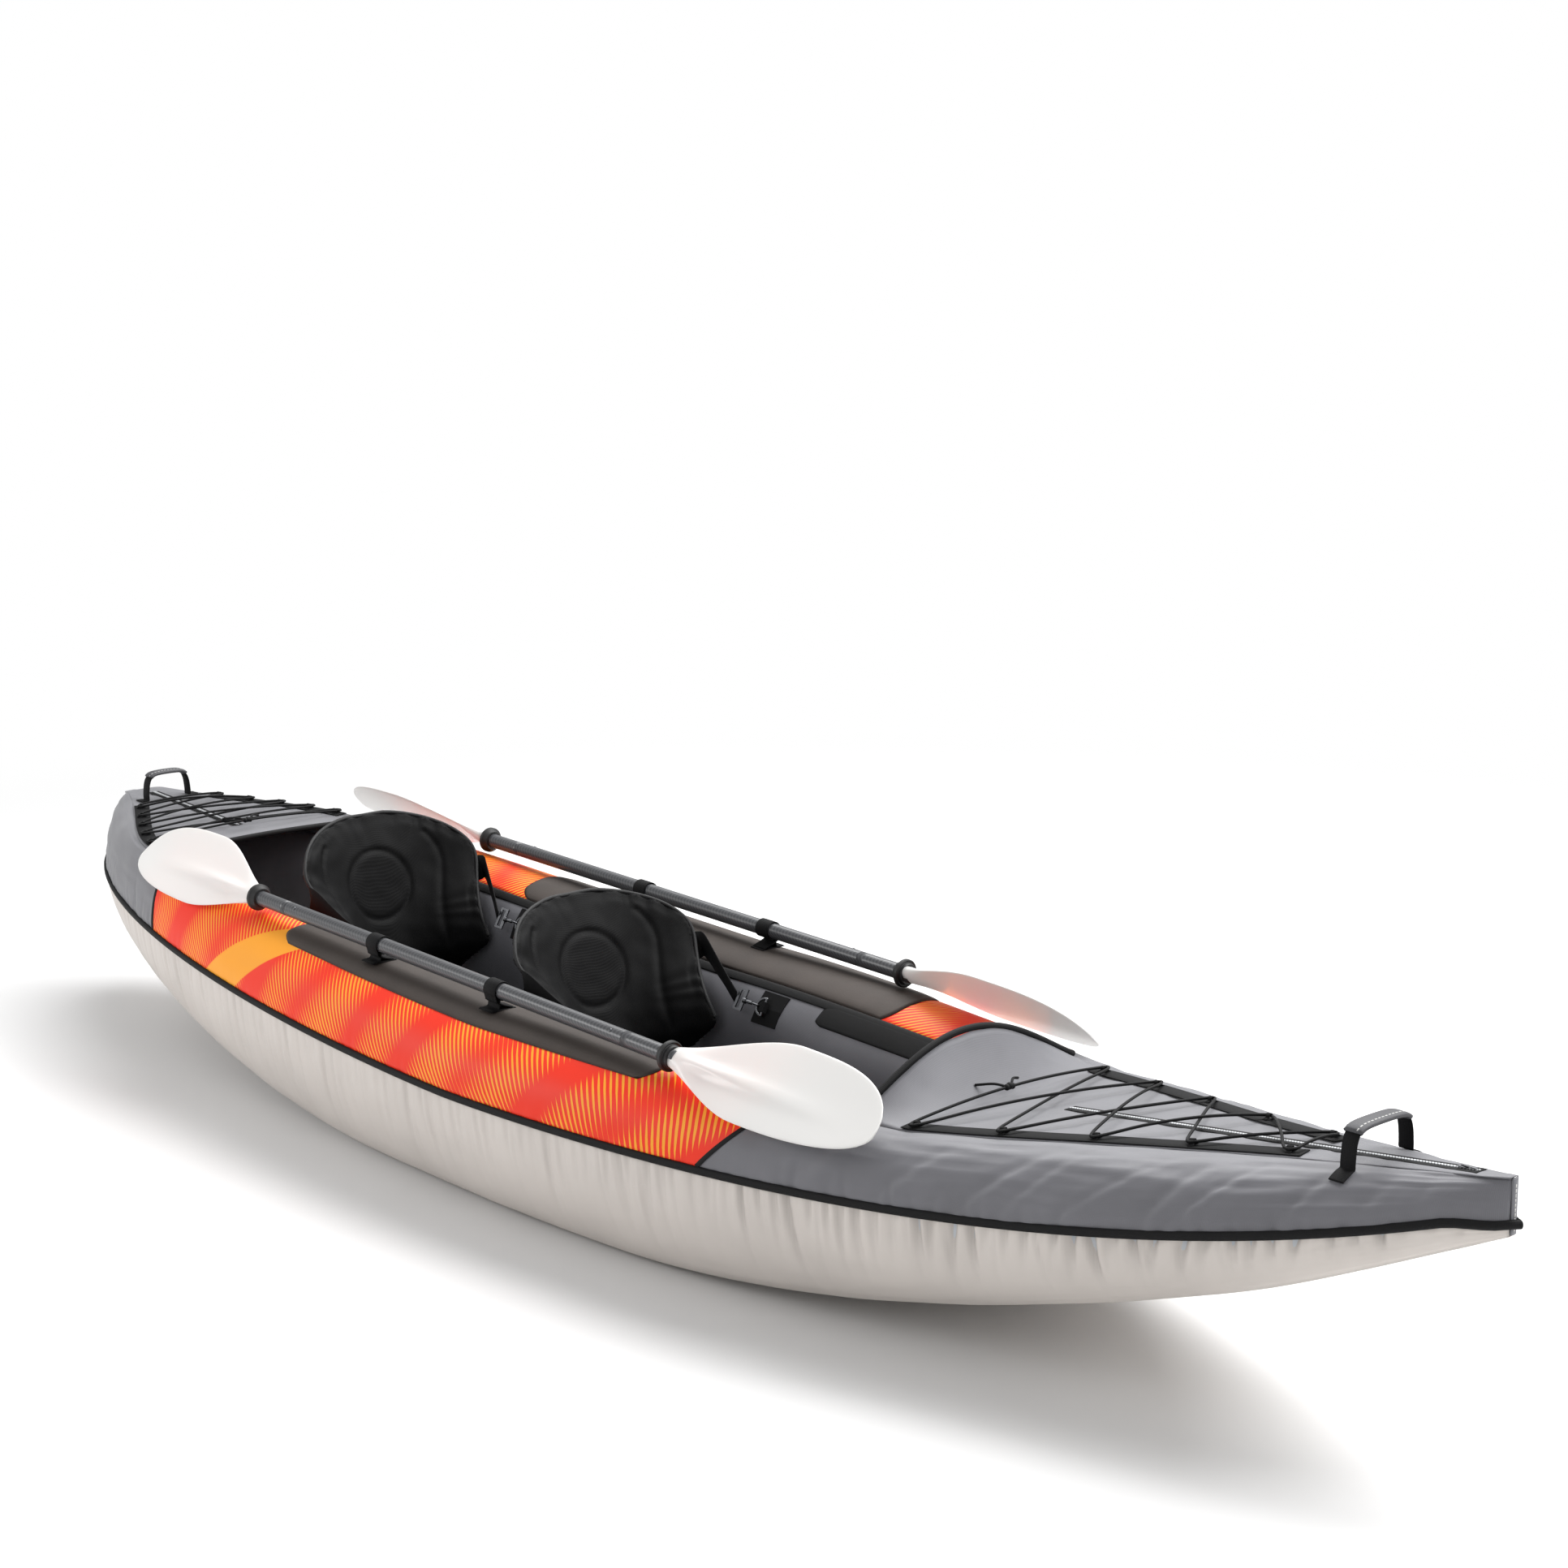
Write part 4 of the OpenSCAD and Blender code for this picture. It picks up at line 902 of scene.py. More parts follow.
def make_bungees():
    """Braided elastic cords laced over the decks, each tied in a knot with two tails."""
    for lace, end in ((BOW_LACE, "bow"), (STERN_LACE, "stern")):
        route = lace_route(lace)
        bm = bmesh.new()
        sweep(bm, smooth_path(route, 4, loop=True), circle_section(sizes().cord, 10), loop=True)
        middle = route[-2]
        along = (route[0] - route[-4]).normalized()
        for turn, size, lift in ((0.0, 0.0062, 0.0012), (0.006, 0.0056, 0.0), (-0.006, 0.0056, 0.0)):
            made = bmesh.ops.create_uvsphere(bm, u_segments=12, v_segments=8, radius=size)
            bmesh.ops.translate(bm, verts=made["verts"], vec=middle + along * turn + Vector((0, 0, lift)))
        for k in (-1, 1):
            tail = [middle + along * 0.004 * k, middle + along * 0.022 * k + Vector((-0.014, 0, 0.006)),
                    middle + along * 0.04 * k + Vector((-0.03 - 0.01 * k, 0, 0.002))]
            sweep(bm, smooth_path(tail, 6), circle_section(0.0046, 8))
        closed(bm)
        keep(bm, f"{end}_cord", FINISH["cord"], nodes=(f"{end}_bungee",))


def make_cord_loops():
    """Folded webbing loops sewn on the deck webbing, each round the cord."""
    bm = bmesh.new()
    for side in (-1, 1):
        for lace in (BOW_LACE, STERN_LACE):
            for i in range(LOOPS):
                c = lace_at(lace, i, side, 0.0)
                d = (lace_at(lace, i, side, 0.004) - lace_at(lace, i, side, -0.004)).normalized()
                across = Vector((0, 0, 1)).cross(d).normalized()
                up = d.cross(across)
                foot = CORD_LIFT - WEBBING_TOP
                ring = [across * 0.0105 - up * foot, across * 0.006 - up * (foot - 0.002)]
                for k in range(13):
                    g = math.radians(-30 + 20 * k)
                    ring.append(across * 0.0036 * math.cos(g) + up * 0.0036 * math.sin(g))
                ring += [-across * 0.006 - up * (foot - 0.002), -across * 0.0105 - up * foot]
                sweep(bm, [c + r for r in ring], strap_section(0.01, 0.0013), side=tuple(d))
    closed(bm)
    keep(bm, "webbing_loops", FINISH["webbing"], nodes=("cord_loops",))


BOW_ZIP = (1.11, 1.89)
STERN_ZIP = (-1.83, -1.45)


def make_zips():
    """Zip tapes with two rows of coil teeth."""
    tape = bmesh.new()
    teeth = bmesh.new()
    for x0, x1 in (BOW_ZIP, STERN_ZIP):
        path = [Vector((x, 0, deck_top(x) + 0.0008)) for x in (mix(x0, x1, k / 40) for k in range(41))]
        sweep(tape, path, strap_section(0.026, 0.0009))
        for k in range(int((x1 - x0) / TOOTH_PITCH)):
            x = x0 + 0.003 + k * TOOTH_PITCH
            for side in (-1, 1):
                place = (x + 0.0013 * (side + 1), 0.0013 * side, deck_top(x) + 0.0018)
                block(teeth, (0.0028, 0.0036, 0.0016), place)
    closed(tape)
    keep(tape, "zip_tapes", FINISH["binding"], nodes=("deck_zips",))
    keep(teeth, "zip_teeth", FINISH["teeth"], smooth=False)


def make_sliders():
    """Zip sliders: a die-cast body, a bail and a flat pull."""
    for end in ("bow", "stern"):
        low, _ = (Vector(c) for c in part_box(f"{end}_zip_slider"))
        slope = (deck_top(low.x + 0.02) - deck_top(low.x - 0.02)) / 0.04
        lift = 0.0012 if slope > 0 else 0.0022
        bm = bmesh.new()
        for size, dx, dz, round_by in (
            ((0.015, 0.0095, 0.0018), 0.0, 0.0003, 0.0006),
            ((0.007, 0.004, 0.0024), 0.0, 0.0022, 0.0008),
            ((0.021, 0.006, 0.0013), 0.0125, 0.0014, 0.0005),
        ):
            verts = block(bm, size, Vector((low.x + 0.008 + dx, 0, low.z + lift + dz + slope * dx)))
            edges = list({e for v in verts for e in v.link_edges})
            bmesh.ops.bevel(bm, geom=edges, offset=round_by, affect="EDGES", segments=2, profile=0.5,
                            material=-1)
        closed(bm)
        keep(bm, f"{end}_slider_pull", FINISH["steel"], body=f"{end}_slider", nodes=(f"{end}_zip_slider",))


# Handles


# Station of each handle, and the half distance of its feet where they stand on the deck
HANDLES = ((1.712, None), (-1.766, 0.054))
GRIP_H = 0.063
# Inward and upward steps of a handle's strap from its foot to its grip
HANDLE_RISE = ((0.0, 0.011), (0.001, 0.024), (0.003, 0.038), (0.0075, 0.05), (0.0155, 0.0575), (0.024, 0.061))


def make_handles():
    """Webbing handles with sewn-down feet, and a moulded grip round the middle of each."""
    strap = bmesh.new()
    grip = bmesh.new()
    for x, foot_y in HANDLES:
        half = []
        if foot_y is None:
            half += [hull(x, a, 0.0024) for a in (54, 60, 66, 72)]
            foot = hull(x, 72, 0.0)
        else:
            half += [Vector((x, foot_y + 0.02 - 0.0066 * k, deck_top(x) + 0.0022)) for k in range(4)]
            foot = Vector((x, foot_y, deck_top(x)))
        half += [foot + Vector((0, -y, z)) for y, z in HANDLE_RISE]
        path = half + [Vector((x, 0, foot.z + GRIP_H))] + [on_side(p, -1) for p in reversed(half)]
        sweep(strap, smooth_path(path, 4), strap_section(0.027, 0.0025), side=(1, 0, 0))
        line = []
        for k in range(33):
            v = 1 - 2 * k / 32
            z = foot.z + GRIP_H - 0.002 * v * v - 0.006 * abs(v) ** 7
            line.append(Vector((x, v * (foot.y - 0.009), z)))
        shell = []
        for k in range(24):
            g = 2 * math.pi * k / 24
            c, q = math.cos(g), math.sin(g)
            shell.append((0.0165 * math.copysign(abs(c) ** 0.5, c), 0.0045 * math.copysign(abs(q) ** 0.7, q)))
        sweep(grip, line, shell, side=(1, 0, 0))
    closed(strap)
    closed(grip)
    keep(strap, "handle_webbing", FINISH["webbing"], nodes=("handle_straps",))
    keep(grip, "handle_sleeves", FINISH["grip"], nodes=("handle_grips",))


# Pads and paddle straps


def make_pads():
    """Foam pads on the tubes with rounded corners, and the flap strips on the cockpit walls."""
    for name, node, x0, x1, a0, a1, low, high, finish, slot in (
        ("tube_pads", "side_pads", -0.69, 0.4, 60, 127, 0.0008, 0.0044, "pad", "pad_foam"),
        ("wall_flaps", "inner_flaps", 0.27, 0.79, 130, 150, 0.0006, 0.002, "binding", "black_webbing"),
    ):
        bm = bmesh.new()
        for side in (-1, 1):
            def place(s, t, lift, side=side):
                u, v = 2 * s - 1, 2 * t - 1
                corner = max(0.0, abs(v) - 0.55) / 0.45
                ends = 1 - (0.075 if u < 0 else 0.02) * corner**2.2
                a = mix(a0, a1, t)
                x = lean_x(mix(x0, x1, 0.5 + 0.5 * u * ends), a)
                rim = min(1.0, 14 * (1 - abs(u)), 6 * (1 - abs(v)))
                off = mix(low, lift, math.sqrt(max(0.0, rim))) if lift > low else low
                return on_side(hull(x, a, off), side)

            for lift, flip in ((high, side > 0), (low, side < 0)):
                grid(bm, 110, 22, lambda s, t, lift=lift: place(s, t, lift), flip=flip,
                     uv=lambda s, t: (1.1 * s, 0.2 * t))
        bmesh.ops.remove_doubles(bm, verts=bm.verts[:], dist=2 * MERGE)
        obj = keep(bm, name, FINISH[finish], nodes=(node,))


PADDLE_DROP = 0.036
PADDLE_PITCH = math.atan(PADDLE_DROP)
PADDLE_Y = 0.325
PADDLE_Z = 0.405
PADDLE_X = (-0.27, -0.162)
PADDLE_STRAP_X = (-0.385, 0.0)
SHAFT_R = 0.015


def paddle_z(x):
    """Height of a shaft's middle line."""
    return PADDLE_Z - PADDLE_DROP * x


def paddle_frame(side, x):
    """Matrix of a paddle: X along its shaft, Y outboard, Z up."""
    place = Matrix.Translation((x, side * PADDLE_Y, paddle_z(x))) @ Matrix.Rotation(PADDLE_PITCH, 4, "Y")
    return place @ Matrix.Diagonal((1, side, 1, 1))


def make_paddle_straps():
    """Hook-and-loop straps wrapped round the shafts, with a free end and a stitched base on the pad."""
    bm = bmesh.new()
    ahead = (math.cos(PADDLE_PITCH), 0, -math.sin(PADDLE_PITCH))
    for side in (-1, 1):
        for x in PADDLE_STRAP_X:
            place = paddle_frame(side, x)
            drop = paddle_z(x) - (crest_z(x) + 0.0044)
            wrap = []
            for k in range(29):
                g = math.radians(-70 - 320 * k / 28)
                r = SHAFT_R + 0.0018 + 0.0012 * k / 28
                wrap.append(Vector((0, r * math.cos(g), r * math.sin(g))))
            tail = [wrap[-1] + Vector((0, -0.002, -0.007)), wrap[-1] + Vector((0, -0.006, -0.013)),
                    Vector((0, -0.022, -drop + 0.0022))]
            head = [Vector((0, y, -drop + z)) for y, z in ((0.026, 0.002), (0.012, 0.0022), (0.0075, 0.006))]
            route = [place @ p for p in head + wrap + tail]
            sweep(bm, smooth_path(route, 2), strap_section(0.036, 0.0019), side=ahead)
            base = [place @ Vector((0, y, -drop + 0.0006)) for y in (-0.028, -0.01, 0.01, 0.028)]
            sweep(bm, base, strap_section(0.038, 0.0012), side=ahead)
    closed(bm)
    keep(bm, "shaft_straps", FINISH["webbing"], nodes=("paddle_straps",))


# Paddles


BLADE_L = 0.48
BLADE_X = 0.67
BLADE_LEAN = math.radians(-42)
STUB_X = 0.5404


def blade_half(s, low):
    """Half breadth of the blade from neck to tip: its lower half flares early, its upper half late."""
    if low:
        return mix(0.0125, 0.069, ease(-0.1, 0.42, s)) * (1 - max(0.0, (s - 0.4) / 0.6) ** 2.4) ** 0.5
    return mix(0.0125, 0.1, ease(-0.12, 0.52, s)) * (1 - max(0.0, (s - 0.55) / 0.45) ** 3) ** 0.42


def make_blades():
    """Moulded blades: dished, with a spine that runs out from the neck and a thin rounded rim."""
    for side, word, x in ((1, "port", PADDLE_X[0]), (-1, "starboard", PADDLE_X[1])):
        for end, part in ((1, "bow"), (-1, "stern")):
            place = paddle_frame(side, x) @ Matrix.Diagonal((end, 1, 1, 1))
            place = place @ Matrix.Rotation(BLADE_LEAN, 4, "X")
            bm = bmesh.new()
            steps = [k / 56 for k in range(55)] + [0.985, 0.992, 0.997, 0.9995]
            around = 44
            rings = []
            for s in steps:
                spine = mix(0.0125, 0.0, ease(0.0, 0.93, s) ** 0.8)
                skin = mix(0.0135, 0.0021, ease(0, 0.2, s))
                dish = 0.012 * s * s
                power = mix(1.0, 0.3, ease(0.04, 0.25, s))
                ring = []
                for k in range(around):
                    g = 2 * math.pi * k / around
                    c, q = math.cos(g), math.sin(g)
                    y = blade_half(s, c > 0) * c
                    thick = skin * math.copysign(abs(q) ** power, q)
                    ridge = spine * math.exp(-((y / (0.009 + 0.006 * s)) ** 2)) * ease(0.02, 0.2, s)
                    bend = 0.35 * dish * (y / 0.08) ** 2
                    z = thick + (ridge if q > 0 else 0) - dish + bend
                    ring.append(bm.verts.new(place @ Vector((BLADE_X + s * BLADE_L, y, z))))
                rings.append(ring)
            skin_rings(bm, rings)
            closed(bm)
            keep(bm, f"{word}_{part}_blade_skin", FINISH["blade"], body=f"{word}_paddle")
            neck = bmesh.new()
            reaches = [end * mix(STUB_X, BLADE_X + 0.01, k / 8) for k in range(9)]
            line = [paddle_frame(side, x) @ Vector((along, 0, 0)) for along in reaches]
            sweep(neck, line, circle_section(2 * SHAFT_R, 40))
            closed(neck)
            keep(neck, f"{word}_{part}_stub", FINISH["tube"], body=f"{word}_paddle",
                 nodes=(f"{word}_{part}_blade",))


# Seats

# Station and pitch of each seat
SEATS = {"front": (-0.09, 0.0), "rear": (-0.85, 0.0961)}
BACK_LEAN = math.radians(18)
HINGE_UP = 0.026 + 0.005 * math.sin(BACK_LEAN) + 0.0004
BACK_H = 0.385
BUCKET = 2.6
RING_R = 0.074
RING_V = 0.6
BACK_TOP = 0.992
STRAP_V = 0.6
CUSHION_X = 0.16
CUSHION_L = 0.2
HOOK_ANGLE = math.radians(150)
HOOK_L = 0.068


def back_side(v):
    """Half breadth of a back-rest without its arch."""
    return mix(0.304, 0.43, ease(0.3, 0.76, v)) / 2


def back_half(v):
    """Half breadth of a back-rest under its arch."""
    return back_side(v) * max(0.0, 1 - max(0.0, (v - 0.62) / 0.38) ** 2.3) ** 0.5


def back_reach(v):
    """How far the sides sweep forward."""
    return ease(0, 0.22, v) * mix(0.17, 0.085, ease(0.2, 0.74, v))


def back_out(v, u):
    """Forward normal of a back-rest in plan."""
    t = abs(u) * back_half(v) / back_side(v)
    m = math.copysign(BUCKET * back_reach(v) / back_side(v) * t ** (BUCKET - 1), u)
    return Vector((1, -m, 0)).normalized()


def back_point(v, u, face, edge=0.0045, full=0.017):
    """Point of a back-rest: v up it, u across it, face 1 in front, -1 behind and 0 on the rim."""
    y = u * back_half(v)
    swell = mix(edge, full, (1 - u * u) * ease(0, 0.25, v) * ease(0, 0.3, 1.02 - v))
    x = back_reach(v) * (abs(y) / back_side(v)) ** BUCKET
    return Vector((x, y, v * BACK_H)) + face * swell * back_out(v, u)


def back_hold(p):
    """How freely a point of a back-rest may swell: little on its seams, its ring and its rim."""
    v = min(0.99, max(0.0, p.z / BACK_H))
    u = abs(p.y) / max(0.02, back_half(v))
    off_ring = math.hypot(p.y, p.z - RING_V * BACK_H) - RING_R
    ring = math.exp(-((off_ring / 0.006) ** 2)) if p.x > -0.02 and u < 0.6 else 0.0
    wing = math.exp(-(((u - 0.7) * back_half(v) / 0.006) ** 2)) if v < 0.86 else 0.0
    rim = ease(0, 0.04, min((1 - u) * back_half(v) + 0.004, (1.0 - v) * BACK_H + 0.004, p.z + 0.01))
    return max(0.02, rim * (1 - 0.9 * max(ring, wing)))


def back_gathers(p):
    """Small gathers of the cover: they run in from the rim and round the ring."""
    v = min(0.99, max(0.0, p.z / BACK_H))
    u = abs(p.y) / max(0.02, back_half(v))
    near = max(0.0, 1 - min((1 - u) * back_half(v), (1 - v) * BACK_H) / 0.075)
    angle = math.atan2(p.z - 0.42 * BACK_H, p.y)
    wave = math.sin(angle * 27 + 2.2 * math.sin(angle * 7)) * 0.0021 * near**1.3
    centre = math.hypot(p.y, p.z - RING_V * BACK_H)
    seam = -0.0011 * math.exp(-(((centre - RING_R) / 0.0032) ** 2)) if u < 0.6 else 0.0
    wing = -0.0011 * math.exp(-(((u - 0.7) * back_half(v) / 0.0032) ** 2)) if v < 0.86 else 0.0
    return wave + seam + wing + 0.0012 * crinkle(p, 0.03)


def cushion_point(u, v, top, slim):
    """Point of a seat cushion: u along it, v across it."""
    w = 0.155 - 0.007 * (1 - u * u)
    length = CUSHION_L - 0.007 * (1 - v * v)
    rim = math.sqrt(max(0.0, min(1.0, 6 * (1 - abs(u)), 5 * (1 - abs(v)))))
    crown = 0.012 * ease(-0.75, -0.4, u) * ease(-1, -0.75, -u) * (1 - v**4)
    h = mix(0.012, 0.026 + crown - slim, rim) if top else mix(0.012, 0.0008, rim)
    return Vector((CUSHION_X + u * length, v * w, h))


def cushion_hold(p):
    """How freely a point of a cushion may swell: little on its channels, its rim and its base."""
    u = (p.x - CUSHION_X) / CUSHION_L
    near = max(math.exp(-(((u - c) * CUSHION_L / 0.007) ** 2)) for c in (-0.667, 0.0, 0.667))
    lines = near * ease(-0.152, -0.12, -abs(p.y))
    rim = ease(0, 0.03, 0.206 - abs(p.x - CUSHION_X))
    return max(0.02, ease(0.008, 0.02, p.z) * (1 - 0.95 * lines) * rim)


def puff(bm, cap, hold):
    """Blow a closed form up as cloth. hold gives the share of the cap by which a point may move."""
    scene = bpy.context.scene
    mesh = bpy.data.meshes.new("puff")
    bm.to_mesh(mesh)
    bm.free()
    obj = bpy.data.objects.new("puff", mesh)
    scene.collection.objects.link(obj)
    voxels = obj.modifiers.new("voxels", "REMESH")
    voxels.mode = "VOXEL"
    voxels.voxel_size = 0.005
    obj.data = bpy.data.meshes.new_from_object(obj.evaluated_get(bpy.context.evaluated_depsgraph_get()))
    obj.modifiers.clear()
    start = [v.co.copy() for v in obj.data.vertices]
    out = bmesh.new()
    out.from_mesh(obj.data)
    out.verts.ensure_lookup_table()
    cloth = obj.modifiers.new("cloth", "CLOTH")
    cloth.settings.use_pressure = True
    cloth.settings.uniform_pressure_force = 4.0
    cloth.settings.effector_weights.gravity = 0.0
    for step in range(1, 21):
        scene.frame_set(step)
    swollen = obj.evaluated_get(bpy.context.evaluated_depsgraph_get()).data
    for v, p, q in zip(out.verts, start, swollen.vertices):
        move = q.co - p
        limit = cap * hold(p)
        v.co = p + move * min(1.0, limit / max(1e-9, move.length))
    scene.frame_set(1)
    bpy.data.objects.remove(obj)
    bmesh.ops.smooth_vert(out, verts=out.verts[:], factor=0.5, use_axis_x=True, use_axis_y=True,
                          use_axis_z=True)
    return out


def along_normals(bm, lift):
    """Move each point along its normal by a formula."""
    bm.normal_update()
    moves = [(v, v.normal * lift(v.co)) for v in bm.verts]
    for v, d in moves:
        v.co = v.co + d


def strap_eye(x):
    """Where a seat strap meets its hook on the cockpit wall."""
    rx = x + 0.24
    turn = math.atan((hull(rx + 0.02, 150).y - hull(rx - 0.02, 150).y) / 0.04)
    tilt = math.radians(14)
    back = HOOK_L * math.cos(tilt) * Vector((math.cos(turn), math.sin(turn), 0))
    out = Vector((math.sin(turn), math.cos(HOOK_ANGLE), math.sin(HOOK_ANGLE)))
    return hull(rx, 150) - back + (0.0083 + HOOK_L * math.sin(tilt)) * out


def make_cushion(word, base):
    """Seat cushion with channels across it."""
    bm = bmesh.new()
    for top, slim in ((True, 0.006), (False, 0.0)):
        grid(bm, 60, 48, lambda s, t, top=top, slim=slim: cushion_point(2 * s - 1, 2 * t - 1, top, slim),
             flip=not top)
    bm = puff(closed(bm), 0.006, cushion_hold)
    along_normals(bm, lambda p: (0.0009 * crinkle(p, 0.025) if p.z > 0.012 else 0.0))
    bm.transform(base)
    pad = keep(bm, f"{word}_seat_pad", FINISH["seat"], nodes=(f"{word}_seat_cushion",))


def make_back(word, rest):
    """Padded back-rest with a round seam in its middle, and the piping round its rim."""
    bm = bmesh.new()
    for face in (1, -1):
        grid(bm, 72, 72, lambda s, t, face=face: back_point(BACK_TOP * t, 2 * s - 1, face), flip=face < 0)
    bmesh.ops.remove_doubles(bm, verts=bm.verts[:], dist=MERGE)
    bmesh.ops.bridge_loops(bm, edges=[e for e in bm.edges if e.is_boundary])
    bm = puff(closed(bm), sizes().puff, back_hold)
    along_normals(bm, back_gathers)
    bm.transform(rest)
    back = keep(bm, f"{word}_back_pad", FINISH["seat"], body=f"{word}_back", nodes=(f"{word}_backrest",))
    rim = []
    for k in range(14, 60):
        v = BACK_TOP * k / 59
        p, q = back_point(v, 1, 0), back_point(v - 0.012, 1, 0)
        rim.append(p - 0.0004 * (p - q).cross(back_out(v, 1)).normalized())
    top = back_point(BACK_TOP, 0, 0)
    line = rim + [Vector((top.x, 0, top.z - 0.0004))] + [on_side(p, -1) for p in reversed(rim)]
    ahead = tuple(rest.to_3x3() @ Vector((1, 0, 0)))
    bm = bmesh.new()
    sweep(bm, [rest @ p for p in smooth_path(line, 2)], circle_section(0.0084, 10), side=ahead)
    closed(bm)
    keep(bm, f"{word}_back_cord", FINISH["edge"], body=f"{word}_back", nodes=(f"{word}_back_piping",))


def make_seat_straps(word, rest):
    """Straps from the back-rest's wings to their hooks: broad at the wing and narrow at the hook."""
    eye = strap_eye(SEATS[word][0])
    edge = back_point(STRAP_V, 1, 0)
    away = -back_out(STRAP_V, 1)
    along = Vector((away.y, -away.x, 0))
    start = back_point(STRAP_V, 0.72, -1, full=0.024) + 0.004 * away
    points = [start, edge + 0.011 * away - 0.012 * along, edge + 0.011 * away + 0.012 * along]
    points = [rest @ q for q in points]
    points += [points[-1].lerp(eye, 0.5) + Vector((0, 0.004, -0.003)), eye]
    lean = Vector((-math.sin(BACK_LEAN), 0, math.cos(BACK_LEAN)))
    bm = bmesh.new()
    for side in (1, -1):
        path = [on_side(q, side) for q in smooth_path(points, 8)]
        rings = []
        for k, (q, (t, _, _)) in enumerate(zip(path, path_frames(path, False))):
            share = k / (len(path) - 1)
            tall = mix(1.0, 0.0, ease(0.3, 1.0, share))
            up = (lean * tall + Vector((0, 0, 1)) * (1 - tall)).normalized()
            out = t.cross(up).normalized()
            up = out.cross(t)
            wide = mix(0.056, 0.028, ease(0.15, 0.9, share))
            rings.append([bm.verts.new(q + c * up + d * out) for c, d in strap_section(wide, 0.0022)])
        skin_rings(bm, rings)
    closed(bm)
    strap = keep(bm, f"{word}_strap_webbing", FINISH["webbing"], body=None, nodes=(f"{word}_seat_straps",))
    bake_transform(strap)


def make_seat(word):
    """Cushion, back-rest, piping and straps of one seat."""
    hinge = Vector(next(j for j in frame["joints"] if j["name"] == f"{word}_back_fold")["pos_m"])
    pitch = SEATS[word][1]
    base = Matrix.Translation(hinge) @ Matrix.Rotation(pitch, 4, "Y") @ Matrix.Translation((0, 0, -HINGE_UP))
    rest = Matrix.Translation(hinge) @ Matrix.Rotation(pitch - BACK_LEAN, 4, "Y")
    make_cushion(word, base)
    make_back(word, rest)
    make_seat_straps(word, rest)


def finish_nodes():
    """Give the CAD nodes that stay in view, and those inside, their finishes."""
    table = {
        "tube": ["port_shaft", "starboard_shaft"],
        "rubber": ["port_drip_rings", "starboard_drip_rings"],
        "steel": ["strap_hooks", "d_rings", "port_bow_button", "port_stern_button", "starboard_bow_button",
                  "starboard_stern_button"],
        "plastic": ["valve_bodies", "port_valve_cap", "starboard_valve_cap", "floor_valve_cap", "fin_box"],
        "white_plastic": ["port_valve_plunger", "starboard_valve_plunger", "floor_valve_plunger"],
        "webbing": ["ring_patches"],
    }
    for key, names in table.items():
        for name in names:
            if not NODES[name].material_slots:
                NODES[name].data.materials.append(FINISH[key])
            for slot in NODES[name].material_slots:
                slot.material = FINISH[key]


# Stage


# The photo's camera: size and focal length in pixels, shift, place and turns
PHOTO_PX = 1932
FOCAL_PX = 3500.85
SHIFT_PX = 51.34
SENSOR_MM = 36.0
CAMERA_PLACE = (4.0878, -3.2101, 1.76)
CAMERA_TURNS = (0.85152, 0.20935, -0.01)
# Name, place, aim, size and power of each lamp
LAMPS = (
    ("side lamp", (-2.6, -2.9, 1.7), (0.9, -0.3, 0.2), (1.2, 1.2), 36),
    ("front lamp", (0.6, -5.0, 2.6), (0, 0, 0.25), (5.0, 2.5), 25),
    ("top lamp", (-1.0, 2.2, 4.0), (-0.2, 0, 0.2), (5.0, 3.0), 270),
    ("deck lamp", (3.0, 2.0, 3.6), (1.2, 0, 0.35), (2.5, 2.5), 170),
    ("bow lamp", (5.0, 0.6, 2.4), (1.0, 0, 0.3), (2.5, 2.0), 10),
)


def make_backdrop():
    """Pale floor that fades to plain white away from the boat, and keeps the boat's shadow."""
    bm = bmesh.new()
    bmesh.ops.create_grid(bm, x_segments=1, y_segments=1, size=60)
    mat, tree, shader = new_material("paper backdrop, pale")
    dial(shader, {"Roughness": 0.9})
    grain = dial(add(tree, "ShaderNodeTexNoise", [("Vector", object_coords(tree))]), {"Scale": 0.6})
    tint = ramp(tree, grain.outputs["Fac"], [(0.3, linear("#E4E4E4")), (0.7, linear("#E8E8E8"))])
    tree.links.new(tint, shader.inputs["Base Color"])
    far = add(tree, "ShaderNodeVectorMath", [(0, object_coords(tree))], operation="LENGTH")
    fade = add(tree, "ShaderNodeMapRange", [("Value", far.outputs["Value"])], interpolation_type="SMOOTHSTEP")
    dial(fade, {"From Min": 2.1, "From Max": 4.8})
    rays = add(tree, "ShaderNodeLightPath").outputs
    seen = maths(tree, "MAXIMUM", rays["Is Camera Ray"], rays["Is Glossy Ray"])
    share = maths(tree, "MULTIPLY", seen, fade.outputs[0])
    white = dial(add(tree, "ShaderNodeEmission"), {"Strength": 1.0})
    both = add(tree, "ShaderNodeMixShader", [(0, share), (1, shader.outputs[0]), (2, white.outputs[0])])
    tree.links.new(both.outputs[0], tree.nodes["Material Output"].inputs["Surface"])
    floor = keep(bm, "floor", mat, body=None, smooth=False)


def light_world(scene):
    """White surroundings: soft light on the boat, and plain white behind it."""
    world = bpy.data.worlds.new("studio") if scene.world is None else scene.world
    scene.world = world
    world.use_nodes = True
    tree = world.node_tree
    back = dial(tree.nodes["Background"], {"Color": (1, 1, 1, 1), "Strength": 0.5})
    rays = add(tree, "ShaderNodeLightPath").outputs
    plain = dial(add(tree, "ShaderNodeBackground"), {"Color": (1, 1, 1, 1), "Strength": 1.0})
    parts = [(0, rays["Is Camera Ray"]), (1, back.outputs[0]), (2, plain.outputs[0])]
    both = add(tree, "ShaderNodeMixShader", parts)
    tree.links.new(both.outputs[0], tree.nodes["World Output"].inputs["Surface"])


